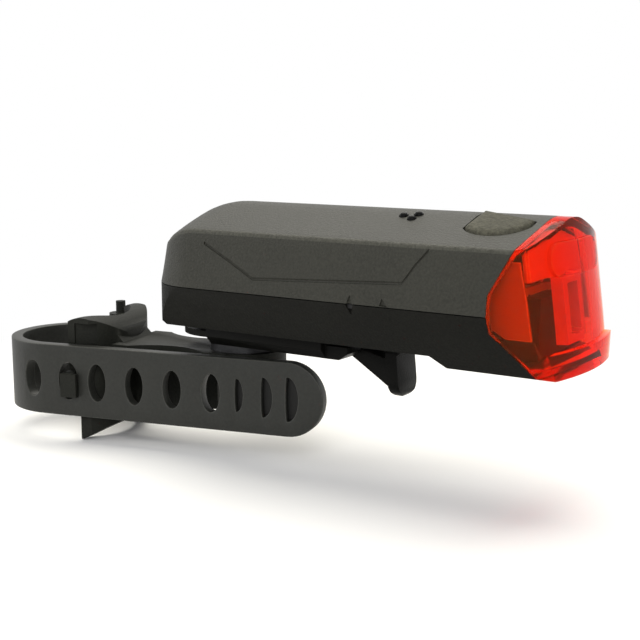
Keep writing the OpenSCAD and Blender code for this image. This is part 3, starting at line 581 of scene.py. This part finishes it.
# %% Flat strap
strap_bm = bmesh.new()
for (centre, width), (low, high) in zip(hole_sizes, hole_spans):
    ring_stretch(strap_bm, centre, low, high, width / 2, width / 2, HOLE_H, False)
for low, high, count in plain_spans:
    plain_stretch(strap_bm, low, high, count)
for (low, high), height, width in zip(mark_spans, mark_heights, mark_widths):
    centre = TAIL_ROUND if high is None else (low + high) / 2
    ring_stretch(strap_bm, centre, low, high, MARK_BACK, width, height, True)
bmesh.ops.remove_doubles(strap_bm, verts=strap_bm.verts, dist=0.02)
for face in strap_bm.faces:
    face.normal_update()
    if face.normal.y < 0:
        face.normal_flip()
print("flat strap:", len(strap_bm.faces), "faces over", round(ARC_L + TAIL_ROUND + STRAP_HALF, 1), "mm")

# %% [markdown]
# Thickness, blind marks and rounded rims come next. The marks near the tail's end are pockets, nearly
# straight behind and round in front, and an inset with a depth sinks them. The walls of holes and pockets
# and the strip's cut rims are marked for painted shade, which paints them darker.

# %% Thick strap
MARK_DRAFT = 0.12
RIM_ROUND = 0.42
RIM_DEPTH = 0.3


def wound(along, out, up):
    """Where a point of the flat strip comes to lie: round the post, or on the straight run past it."""
    radius = STRAP_MID_R + out
    if along < 0:
        angle = RUN_ANGLE + along / STRAP_MID_R
        return Vector((radius * math.cos(angle), radius * math.sin(angle), up))
    return Vector((radius * math.cos(RUN_ANGLE) - along * math.sin(RUN_ANGLE),
                   radius * math.sin(RUN_ANGLE) + along * math.cos(RUN_ANGLE), up))


marks = [f for f in strap_bm.faces if len(f.verts) == RING]
backs = bmesh.ops.extrude_face_region(strap_bm, geom=strap_bm.faces[:], use_keep_orig=True)["geom"]
back_verts = [v for v in backs if isinstance(v, bmesh.types.BMVert)]
bmesh.ops.translate(strap_bm, vec=(0, -STRAP_T, 0), verts=back_verts)
bmesh.ops.recalc_face_normals(strap_bm, faces=strap_bm.faces)
bmesh.ops.inset_individual(strap_bm, faces=marks, thickness=MARK_DRAFT, depth=-MARK_DEPTH)
rims = [e for e in sharp_edges(strap_bm, 75)
        if all(abs(abs(v.co.y) - STRAP_T / 2) < 0.01 for v in e.verts)]
round_edges(strap_bm, rims, RIM_ROUND, 3)
# Painted shade: points off the outer faces, on the walls and floors of holes and pockets and on the cut
# rims, are marked to be painted dark.
recess_shade_mark = strap_bm.verts.layers.float.new("recess_shade")
for vert in strap_bm.verts:
    vert[recess_shade_mark] = 1.0 if abs(vert.co.y) < STRAP_T / 2 - RIM_DEPTH else 0.0
    vert.co = wound(*vert.co)
print("wound strap:", len(strap_bm.faces), "faces")

# %% [markdown]
# The eye that the pin passes through is a short tube, made by spinning its outline round the pin. The
# strap is joined to it and then handed over as one piece, which stands for both the loop and the tail.

# %% Strap eye
EYE_R = 2.9
EYE_CHAMFER = 0.4
EYE_HOLE_R = 1.3
EYE_PLACE_R = 16.05
eye_bm = bmesh.new()
eye_profile = [(EYE_HOLE_R, -STRAP_HALF), (EYE_R - EYE_CHAMFER, -STRAP_HALF),
               (EYE_R, EYE_CHAMFER - STRAP_HALF), (EYE_R, STRAP_HALF - EYE_CHAMFER),
               (EYE_R - EYE_CHAMFER, STRAP_HALF), (EYE_HOLE_R, STRAP_HALF)]
eye_verts = [eye_bm.verts.new((r, 0, z)) for r, z in eye_profile]
eye_edges = [eye_bm.edges.new((a, b)) for a, b in zip(eye_verts, eye_verts[1:] + eye_verts[:1])]
bmesh.ops.spin(eye_bm, geom=eye_verts + eye_edges, cent=(0, 0, 0), axis=(0, 0, 1), dvec=(0, 0, 0),
               angle=2 * math.pi, steps=32, use_merge=True)
bmesh.ops.recalc_face_normals(eye_bm, faces=eye_bm.faces)
bmesh.ops.translate(eye_bm, verts=eye_bm.verts,
                    vec=(EYE_PLACE_R * math.cos(PIN_ANGLE), EYE_PLACE_R * math.sin(PIN_ANGLE), 0))
strap_bm = boolean(strap_bm, eye_bm, "UNION")
on_bracket(strap_bm)


strap = hand_over(strap_bm, "strap", "strap_rubber", ["strap_loop", "strap_tail"], 50)
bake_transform(strap)

# %% [markdown]
# The upper shell is the sliding battery cover: a hollow, crowned lid whose rear end falls away in one
# smooth curve. A grid of points is bent into that form, once at full size and once drawn in by the wall,
# and the second is cut from the first. The lens rim, the button's opening, the indicator holes and
# the fine decorative groove along both sides are then cut with simple tools.

# %% Upper shell form
BACK = -15.4
TOP_Z = 41.4
SHELL_LOW = 24.2
CORNER_R = 14.0
REAR_R = 16.5
RIDGE_R = 16.0
CROWN_SLOPE = math.radians(17.0)
WALL = 2.1
BODY_HALF = 19.5
TOP_HALF = 18.5
FRONT = 86.0
REAR_LEAN = 2.4
REAR_SWELL = 1.8
REAR_LEAN_H = 10.0
SIDE_STEPS = 4
CROWN_STEPS = 20
REAR_STEPS = 26
EAVE_FROM_Y = 4.0
EAVE_FROM_Z = SHELL_LOW + 2
EAVE_ROUND = 0.7


def crown_drop(y):
    """How far the crowned top lies below its ridge at a distance from the middle."""
    side = RIDGE_R * math.sin(CROWN_SLOPE)
    if abs(y) < side:
        return RIDGE_R - math.sqrt(RIDGE_R ** 2 - y * y)
    return RIDGE_R * (1 - math.cos(CROWN_SLOPE)) + (abs(y) - side) * math.tan(CROWN_SLOPE)


def quarter(reach, radius):
    """Height on a quarter circle of that radius at a distance from its start."""
    return math.sqrt(max(0.0, radius ** 2 - max(0.0, radius - reach) ** 2))


def cover_form(inset, low):
    """A grid bent into the upper shell's form, drawn in by an inset, still open below and in front."""
    bm = bmesh.new()
    rows = 2 * SIDE_STEPS + CROWN_STEPS
    columns = REAR_STEPS + 2
    made = bmesh.ops.create_grid(bm, x_segments=columns, y_segments=rows, size=1.0)["verts"]
    back = BACK + inset
    full = TOP_Z - inset - low
    for vert in made:
        column = round((vert.co.x + 1) / 2 * columns) - 1
        row = round((vert.co.y + 1) / 2 * rows)
        share = max(0, min(column, REAR_STEPS)) / REAR_STEPS
        reach = (REAR_R - inset) * (1 - math.cos(share * math.pi / 2))
        x = FRONT + inset if column > REAR_STEPS else back + reach
        ridge = TOP_Z - REAR_R + quarter(reach, REAR_R - inset)
        rise = 0.0 if column < 0 else max(0.02, (ridge - low) / full)
        half = BODY_HALF - CORNER_R + quarter(reach, CORNER_R - inset)
        eave_half = half - (BODY_HALF - TOP_HALF) * rise
        eave = low + (full - crown_drop(TOP_HALF)) * rise
        if row <= SIDE_STEPS or row >= rows - SIDE_STEPS:
            climb = min(row, rows - row) / SIDE_STEPS
            y = half + (eave_half - half) * climb
            vert.co = (x, -y if row < rows / 2 else y, low + (eave - low) * climb)
        else:
            across = (row - rows / 2) / (CROWN_STEPS / 2)
            fall = crown_drop(across * TOP_HALF) * rise
            vert.co = (x, across * eave_half, low + full * rise - fall)
        climbed = min(1.0, max(0.0, vert.co.z - SHELL_LOW) / REAR_LEAN_H)
        aside = min(1.0, abs(vert.co.y) / half) ** 2
        lean = REAR_LEAN * aside - REAR_SWELL * (1 - aside)
        vert.co.x += lean * climbed * max(0.0, 1 - reach / REAR_R)
    bmesh.ops.remove_doubles(bm, verts=bm.verts, dist=0.01)
    bmesh.ops.dissolve_degenerate(bm, edges=bm.edges, dist=0.01)
    return bm


print("cover form:", round(FRONT - BACK, 1), "mm long before its cuts")

# %% [markdown]
# The bent grid is open below and in front. Closing it makes a solid, which a Boolean needs, and taking the
# smaller solid from the larger one leaves the wall. The edge between the top and the sides is rounded
# before the form is closed.

# %% Upper shell wall
def close_cover(bm, low):
    """Closes the flat bottom and then the flat front of a cover form."""
    corners = [v for v in bm.verts if v.co.x > FRONT - 0.01 and v.co.z < low + 0.01]
    sill = bm.edges.new(corners)
    bottom = [e for e in bm.edges if e.is_boundary and all(v.co.z < low + 0.01 for v in e.verts)]
    bmesh.ops.contextual_create(bm, geom=bottom + [sill])
    bmesh.ops.contextual_create(bm, geom=[e for e in bm.edges if e.is_boundary])
    bmesh.ops.recalc_face_normals(bm, faces=bm.faces)


outer_bm = cover_form(0.0, SHELL_LOW)
eaves = [e for e in sharp_edges(outer_bm, 40)
         if all(abs(v.co.y) > EAVE_FROM_Y and v.co.z > EAVE_FROM_Z for v in e.verts)]
round_edges(outer_bm, eaves, EAVE_ROUND, 4)
close_cover(outer_bm, SHELL_LOW)
inner_bm = cover_form(WALL, SHELL_LOW - 1.0)
close_cover(inner_bm, SHELL_LOW - 1.0)
print("open edges of the two forms:", open_edges(outer_bm), open_edges(inner_bm))
cover_bm = boolean(outer_bm, inner_bm, "DIFFERENCE")
print("cover wall:", len(cover_bm.faces), "faces, open edges", open_edges(cover_bm))

# %% [markdown]
# The cutting tools of the cover. The lens rim is a slanted outline seen from the side. The button's opening
# is round on its outer side, and straight behind and towards the ridge. The groove is a thin tube that
# runs along the side wall, half sunk into it.

# %% Cover tools
ACROSS = Matrix.Rotation(math.radians(90), 4, "X")
ALONG = Matrix.Rotation(math.radians(90), 4, "Z") @ Matrix.Rotation(math.radians(90), 4, "X")
RIM = [(76.2, 12.6), (68.3, 21.0), (68.3, 28.0), (72.9, 36.4), (74.2, 45.4), (120.0, 45.4), (120.0, 12.6)]
BUTTON_X = 64.6
BUTTON_Y = -5.2
BUTTON_R = 7.1
BUTTON_BACK = 59.1
BUTTON_FRONT = 71.3
BUTTON_FAR = 2.2
BUTTON_FAR_SLOPE = math.tan(math.radians(-19.0))
BUTTON_GAP = 0.45
SHORTEST_STEP = 0.3
CUT_LOW = 34.0
CUT_HIGH = 50.0
SIDE_OUT = 24.0
RIM_REACH = 40.0
GROOVE_R = 0.34
DOME_HOLE_R = 1.0


def button_outline(grow):
    """The button seen from above: a circle with a straight back, front and far side."""
    bm = bmesh.new()
    bmesh.ops.create_circle(bm, cap_ends=True, segments=96, radius=BUTTON_R + grow,
                            matrix=Matrix.Translation((BUTTON_X, BUTTON_Y, 0)))
    trims = [((BUTTON_BACK - grow, 0, 0), (-1, 0, 0)),
             ((BUTTON_FRONT + grow, 0, 0), (1, 0, 0)),
             ((BUTTON_X, BUTTON_Y + BUTTON_FAR + grow, 0), (-BUTTON_FAR_SLOPE, 1, 0))]
    for point, normal in trims:
        bmesh.ops.bisect_plane(bm, geom=bm.verts[:] + bm.edges[:] + bm.faces[:],
                               plane_co=point, plane_no=normal, clear_outer=True)
    face = bm.faces[:][0]
    outline = []
    for vert in face.verts:
        if not outline or math.dist(outline[-1], vert.co.xy) > SHORTEST_STEP:
            outline.append((vert.co.x, vert.co.y))
    bm.free()
    return outline


def circle_outline(x, y, radius):
    """A round outline of 24 points."""
    angles = [k * math.pi / 12 for k in range(24)]
    return [(x + radius * math.cos(a), y + radius * math.sin(a)) for a in angles]


def side_y(z):
    """Half width of the cover's flat side at a height."""
    eave = TOP_Z - crown_drop(TOP_HALF)
    return BODY_HALF - (BODY_HALF - TOP_HALF) * (z - SHELL_LOW) / (eave - SHELL_LOW)


def groove_tool(points, side, radius):
    """A thin tube along points of the cover's side, as rings bridged one to the next."""
    bm = bmesh.new()
    rings = []
    for x, z in points:
        place = Matrix.Translation((x, side * side_y(z), z)) @ Matrix.Rotation(math.radians(90), 4, "Y")
        ring = bmesh.ops.create_circle(bm, segments=8, radius=radius, matrix=place)["verts"]
        rings.append(edges_of(ring))
    for first, second in zip(rings, rings[1:]):
        bmesh.ops.bridge_loops(bm, edges=first + second)
    bmesh.ops.holes_fill(bm, edges=[e for e in bm.edges if e.is_boundary])
    bmesh.ops.recalc_face_normals(bm, faces=bm.faces)
    return bm


print("button outline:", len(button_outline(0.0)), "points")

# %% [markdown]
# Each cut takes one tool from the cover: the lens rim, the button's opening, a groove on each side, three
# round indicator holes and two small marks at the parting line.

# %% Cover cuts
GROOVE = [(3.3, 33.9), (10.3, 30.4), (16.1, 27.3), (20.4, 27.5), (50.8, 29.0), (53.5, 32.7), (56.2, 35.6)]
cover_bm = boolean(cover_bm, prism(RIM, -RIM_REACH, RIM_REACH, ACROSS), "DIFFERENCE")
cover_bm = boolean(cover_bm, prism(button_outline(BUTTON_GAP), CUT_LOW, CUT_HIGH), "DIFFERENCE")
for side in (-1, 1):
    cover_bm = boolean(cover_bm, groove_tool(GROOVE, side, GROOVE_R), "DIFFERENCE")
dome_places = [(43.5, -5.4), (46.0, -6.7), (46.4, -4.5)]
for x, y in dome_places:
    hole = circle_outline(x, y, DOME_HOLE_R)
    cover_bm = boolean(cover_bm, prism(hole, CUT_LOW, CUT_HIGH), "DIFFERENCE")
COVER_MARKS = [[(38.7, 24.0), (40.1, 24.0), (39.4, 26.0)], [(46.1, 24.4), (47.9, 24.2), (46.6, 25.8)]]
MARK_CUT = 0.45
for mark in COVER_MARKS:
    mark_tool = prism(mark, side_y(SHELL_LOW) - MARK_CUT, SIDE_OUT, ACROSS)
    cover_bm = boolean(cover_bm, mark_tool, "DIFFERENCE")
print("cover after its cuts:", len(cover_bm.faces), "faces, open edges", open_edges(cover_bm))

# %% [markdown]
# Inside the cover, two guide legs on each side reach down into grooves of the lower shell, which is what
# lets it slide. Each is a leg, a ledge that joins it to the wall and a foot, all small blocks that overlap.
# A block is given by how far out it reaches and by its lowest and highest place.

# %% Cover guides
def block(low, high):
    """A box between two corners."""
    bm = bmesh.new()
    bmesh.ops.create_cube(bm, size=1.0)
    bmesh.ops.scale(bm, vec=[b - a for a, b in zip(low, high)], verts=bm.verts)
    bmesh.ops.translate(bm, vec=[(a + b) / 2 for a, b in zip(low, high)], verts=bm.verts)
    return bm


GUIDE_L = 8.0
GUIDE_PLACES = (7.0, 31.0)
GUIDE_FACE = 16.324
GUIDE_IN = GUIDE_FACE - 1.3
LEG = (GUIDE_FACE - 0.3, 21.8, 27.0)
LEDGE = (GUIDE_FACE + 2.4, 25.6, 27.2)
FOOT = (GUIDE_FACE + 0.8, 21.8, 23.0)
for x in GUIDE_PLACES:
    for side in (-1, 1):
        for guide_out, low_z, high_z in (LEG, LEDGE, FOOT):
            low_y, high_y = sorted((side * GUIDE_IN, side * guide_out))
            guide_part = block((x, low_y, low_z), (x + GUIDE_L, high_y, high_z))
            cover_bm = boolean(cover_bm, guide_part, "UNION")
on_light(cover_bm)
cover = hand_over(cover_bm, "cover_shell", "shell_plastic", ["upper_shell"], 32)
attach(cover, "cover")

# %% [markdown]
# A plain raised pad sits on the front of the lens. It is a slot outline crossed with a cylinder of the
# lens's own curve, so that it follows the front, and its front edge is rounded. A slightly smaller cylinder
# then takes away all but a thin plate, which reaches into the lens's wall.

# %% Lens pad
PARTING_Z = 24.0
LENS_FRONT = 79.4
LENS_R = 59.0
LENS_LEAN = math.radians(8.0)
PAD_HALF_W = 11.0
PAD_HALF_H = 3.25
PAD_Y = -1.0
PAD_Z = 34.2
PAD_RISE = 0.9
PAD_SINK = 1.0
PAD_ROUND = 0.45
PAD_FROM = 60.0
PAD_TO = 95.0
PAD_FRONT = 70.0
LENS_ROUND_H = 90.0


def lens_round(radius):
    """A tall cylinder that leans with the lens, with its axis where the lens's own curve has it."""
    bm = bmesh.new()
    lean = Matrix.Translation((LENS_FRONT, 0, PARTING_Z)) @ Matrix.Rotation(-LENS_LEAN, 4, "Y")
    bmesh.ops.create_cone(bm, cap_ends=True, segments=256, radius1=radius, radius2=radius,
                          depth=LENS_ROUND_H, matrix=lean @ Matrix.Translation((-LENS_R, 0, 0)))
    return bm


def stadium(half_w, half_h, steps=12):
    """A slot outline with round ends, as points in the plane."""
    points = []
    for end in (1, -1):
        for k in range(steps + 1):
            angle = -math.pi / 2 + math.pi * k / steps
            across = half_w - half_h + half_h * math.cos(angle)
            points.append((end * across, end * half_h * math.sin(angle)))
    return points


facing = Matrix.Translation((0, PAD_Y, PAD_Z)) @ ALONG
pad_bm = prism(stadium(PAD_HALF_W, PAD_HALF_H), PAD_FROM, PAD_TO, facing)
pad_bm = boolean(pad_bm, lens_round(LENS_R + PAD_RISE), "INTERSECT")
pad_front = [e for e in sharp_edges(pad_bm, 60) if min(v.co.x for v in e.verts) > PAD_FRONT]
round_edges(pad_bm, pad_front, PAD_ROUND, 4)
pad_bm = boolean(pad_bm, lens_round(LENS_R - PAD_SINK), "DIFFERENCE")
on_light(pad_bm)
print("lens pad:", len(pad_bm.faces), "faces, open edges", open_edges(pad_bm))

# %% [markdown]
# The lens is one red moulding: side faces, a leaning front and a bumper lip below. Its solid already
# has that form with dead sharp edges, which no moulding has, so a merged copy of it gets small rounded
# edges that catch the light. The pad is joined on last.

# %% Lens
LENS_ROUND = 0.35


def solid_copy(node):
    """A copy of a CAD node's mesh in millimetres, merged, with its flat faces made whole."""
    bm = bmesh.new()
    bm.from_mesh(frame["nodes"][node].data)
    bmesh.ops.scale(bm, vec=(1 / MM, 1 / MM, 1 / MM), verts=bm.verts)
    bmesh.ops.remove_doubles(bm, verts=bm.verts, dist=0.004)
    bmesh.ops.dissolve_limit(bm, angle_limit=math.radians(1.0), verts=bm.verts, edges=bm.edges)
    return bm


lens_bm = solid_copy("lens")
lens_edges = [e for e in sharp_edges(lens_bm, 30) if e.calc_length() > 0.8]
round_edges(lens_bm, lens_edges, LENS_ROUND, 3)
lens_bm = boolean(lens_bm, pad_bm, "UNION")
lens = hand_over(lens_bm, "lens_shell", "lens_red", ["lens"], 30)
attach(lens, "light")

# %% [markdown]
# Behind the lens stands the light guide, a slotted bar of pale plastic that leads the light of the one
# diode up the front. Its head spreads sideways behind the upper half of the lens, and is what makes that
# half look bright when the light is off. A leaning plate, whose top falls away to both sides, and a second
# leg are joined to a copy of the bar's solid. The slot between the legs, through which the dark block
# shows, is cut last.

# %% Light guide
HEAD_HALF = 12.6
HEAD_LOW = 30.0
HEAD_TOP = 38.2
HEAD_EAVE = 36.0
HEAD_FLAT = 4.2
HEAD_T = 1.2
HEAD_BACK = 5.9
HEAD_WIDE = 15.0
HEAD_SIDE_TOP = 35.4
HEAD_ABOVE = 40.0
HEAD_FROM = 60.0
HEAD_TO = 90.0
PLATE_ROUND = 0.25


def head_x(z, depth):
    """Where the guide's head lies along the light at a height, a depth behind the leaning lens front."""
    return LENS_FRONT - (z - PARTING_Z) * math.tan(LENS_LEAN) - depth


def leaning_plate(back, thick, low, high, from_y, to_y):
    """A plate that leans with the lens front, between two heights and two places across the light."""
    side = [(head_x(low, back), low), (head_x(low, back - thick), low),
            (head_x(high, back - thick), high), (head_x(high, back), high)]
    bm = prism(side, -to_y, -from_y, ACROSS)
    round_edges(bm, sharp_edges(bm, 60), PLATE_ROUND, 3)
    on_light(bm)
    return bm


head_bm = leaning_plate(HEAD_BACK, HEAD_T, HEAD_LOW, HEAD_TOP, -HEAD_HALF, HEAD_HALF)
head_front = [(-HEAD_WIDE, HEAD_LOW - 1), (HEAD_WIDE, HEAD_LOW - 1), (HEAD_WIDE, HEAD_SIDE_TOP),
              (HEAD_HALF, HEAD_EAVE), (HEAD_FLAT, HEAD_TOP), (HEAD_FLAT, HEAD_ABOVE),
              (-HEAD_FLAT, HEAD_ABOVE), (-HEAD_FLAT, HEAD_TOP), (-HEAD_HALF, HEAD_EAVE),
              (-HEAD_WIDE, HEAD_SIDE_TOP)]
head_crown = prism(head_front, HEAD_FROM, HEAD_TO, ALONG)
on_light(head_crown)
head_bm = boolean(head_bm, head_crown, "INTERSECT")
guide_bm = boolean(solid_copy("light_guide"), head_bm, "UNION")
second_leg = leaning_plate(back=4.9, thick=1.9, low=17.9, high=30.7, from_y=3.4, to_y=6.9)
guide_slot = leaning_plate(back=8.0, thick=7.0, low=19.3, high=29.0, from_y=-1.8, to_y=4.6)
guide_bm = boolean(guide_bm, second_leg, "UNION")
guide_bm = boolean(guide_bm, guide_slot, "DIFFERENCE")
guide = hand_over(guide_bm, "guide_moulding", "guide_clear", ["light_guide"], 35)
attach(guide, "light")

# %% [markdown]
# Seen through the side windows of the lens, a paler lining hides the inside of the housing. It is a thin
# sheet on each side, cut to the window's outline, that stands beside the edge of the circuit board.

# %% Side lining
LINING_IN = 14.25
LINING_OUT = 14.95
LINING_ROUND = 0.2
lining_side = [(66.8, 28.8), (66.8, 21.8), (70.4, 19.7), (75.5, 19.7),
               (74.2, 27.4), (72.8, 34.0), (70.6, 34.0)]
lining_bm = prism(lining_side, LINING_IN, LINING_OUT, ACROSS)
round_edges(lining_bm, sharp_edges(lining_bm, 60), LINING_ROUND, 2)
bmesh.ops.mirror(lining_bm, geom=lining_bm.verts[:] + lining_bm.edges[:] + lining_bm.faces[:],
                 axis="Y", merge_dist=0.001)
bmesh.ops.recalc_face_normals(lining_bm, faces=lining_bm.faces)
on_light(lining_bm)
lining = hand_over(lining_bm, "side_lining", "inner_plastic", [], 35)
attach(lining, "light")

# %% [markdown]
# The power button is a soft rubber cap that swells a little above the cover. Its outline is the opening's
# own, drawn tighter. Insets of its top face, each lifted less than the one before, make the swelling high
# above the cover, where its points are easy to tell from the rest. Then it is laid onto the crown. The
# flange that keeps it in and the stem that reaches the switch are below, out of sight.

# %% Power button
FLANGE_LOW = 34.26
FLANGE_TOP = 35.56
FLANGE_WIDTH = 0.9
CAP_LOW = FLANGE_TOP - 0.5
STEM_X = 62.4
STEM_R = 2.0
STEM_LOW = FLANGE_LOW - 1.2
STEM_TOP = FLANGE_TOP - 0.3
FLAT_TOP = 50.0
PILLOW = [(0.0, 0.0), (0.15, 0.32), (0.25, 0.24), (0.4, 0.16), (0.6, 0.10), (0.8, 0.05)]
pillow_bm = bmesh.new()
plan = pillow_bm.faces.new([pillow_bm.verts.new((x, y, CAP_LOW)) for x, y in button_outline(0.0)])
raised = bmesh.ops.extrude_face_region(pillow_bm, geom=[plan], use_keep_orig=True)["geom"]
pillow_top = [f for f in raised if isinstance(f, bmesh.types.BMFace)][0]
lift = 0.0
for inset, rise in PILLOW:
    if inset:
        bmesh.ops.inset_region(pillow_bm, faces=[pillow_top], thickness=inset, use_even_offset=True)
    lift = lift + rise
    for vert in pillow_top.verts:
        vert.co.z = FLAT_TOP + lift
for vert in pillow_bm.verts:
    if vert.co.z > TOP_Z:
        vert.co.z = TOP_Z - crown_drop(vert.co.y) + vert.co.z - FLAT_TOP
bmesh.ops.recalc_face_normals(pillow_bm, faces=pillow_bm.faces)
bmesh.ops.triangulate(pillow_bm, faces=[pillow_top])
flange = prism(button_outline(FLANGE_WIDTH), FLANGE_LOW, FLANGE_TOP)
stem = prism(circle_outline(STEM_X, BUTTON_Y, STEM_R), STEM_LOW, STEM_TOP)
button_bm = boolean(pillow_bm, flange, "UNION")
button_bm = boolean(button_bm, stem, "UNION")
on_light(button_bm)
button = hand_over(button_bm, "power_button_cap", "button_rubber", ["power_button"], 50)
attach(button, "button")

# %% [markdown]
# The remaining mouldings keep their solids' forms, with their edges rounded as a mould leaves them. The
# saddle first gets a pocket in the near side of its near horn, as thick mouldings are cored out, so that
# it looks dark there. The clip gets only its rounded edges.

# %% Rounded mouldings
ROUNDED_FROM = 28
HORN_CORE_LOW = 8.0
HORN_CORE_TOP = 13.0


def rounded(bm, node, name, slot_name, body, offset, shortest):
    """Rounds the edges of a node's shape and hands it over in the node's place."""
    round_edges(bm, [e for e in sharp_edges(bm, ROUNDED_FROM) if e.calc_length() > shortest], offset, 3)
    piece = hand_over(bm, name, slot_name, [node], 35)
    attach(piece, body)


HORN_CORE = [(8.0, -14.0), (8.0, -11.6), (10.0, -9.9), (13.2, -8.6), (13.2, -14.0)]
horn_core = prism(HORN_CORE, HORN_CORE_LOW, HORN_CORE_TOP)
on_bracket(horn_core)
saddle_bm = boolean(solid_copy("saddle_base"), horn_core, "DIFFERENCE")
rounded(saddle_bm, "saddle_base", "saddle_moulding", "bracket_plastic", "bracket", 0.5, 0.8)
rounded(solid_copy("slide_clip"), "slide_clip", "clip_moulding", "clip_plastic", "light", 0.3, 0.8)

# %% [markdown]
# The lever's finger tab ends in a round. Its solid is crossed with an outline seen from the front, which
# keeps all of it but the tab's lower corners. The lower shell carries a small engraved mark on its near
# side, where one of the cover's marks meets it when closed.

# %% Lever and lower shell
TAB_HALF = 4.01
TAB_LOW = 2.29
TAB_ROUND_H = 3.6
TAB_STEPS = 18
TAB_TOP = 8.0
LEVER_WIDE = 9.0
LEVER_TOP = 18.0
LEVER_FROM = 20.0
LEVER_TO = 60.0
LOWER_ROUND = 0.4
LOWER_MARK = [(38.3, 24.4), (40.3, 24.4), (39.3, 21.8)]
LOWER_MARK_IN = 18.3
tab_angles = [k * math.pi / TAB_STEPS for k in range(TAB_STEPS + 1)]
tab_round = [(-TAB_HALF * math.cos(a), TAB_LOW + TAB_ROUND_H * (1 - math.sin(a))) for a in tab_angles]
near_side = [(-LEVER_WIDE, LEVER_TOP), (-LEVER_WIDE, TAB_TOP), (-TAB_HALF, TAB_TOP)]
far_side = [(TAB_HALF, TAB_TOP), (LEVER_WIDE, TAB_TOP), (LEVER_WIDE, LEVER_TOP)]
lever_keep = prism(near_side + tab_round + far_side, LEVER_FROM, LEVER_TO, ALONG)
on_light(lever_keep)
lever_bm = boolean(solid_copy("release_lever"), lever_keep, "INTERSECT")
rounded(lever_bm, "release_lever", "lever_moulding", "clip_plastic", "lever", 0.4, 0.3)
lower_bm = solid_copy("lower_shell")
lower_edges = [e for e in sharp_edges(lower_bm, ROUNDED_FROM) if e.calc_length() > 1.0]
round_edges(lower_bm, lower_edges, LOWER_ROUND, 3)
lower_mark = prism(LOWER_MARK, LOWER_MARK_IN, SIDE_OUT, ACROSS)
on_light(lower_mark)
lower_bm = boolean(lower_bm, lower_mark, "DIFFERENCE")
# Its finish is the darker copy of the housing plastic, which paints shade on it.
lower = hand_over(lower_bm, "lower_moulding", "shell_plastic_low", ["lower_shell"], 35)
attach(lower, "light")
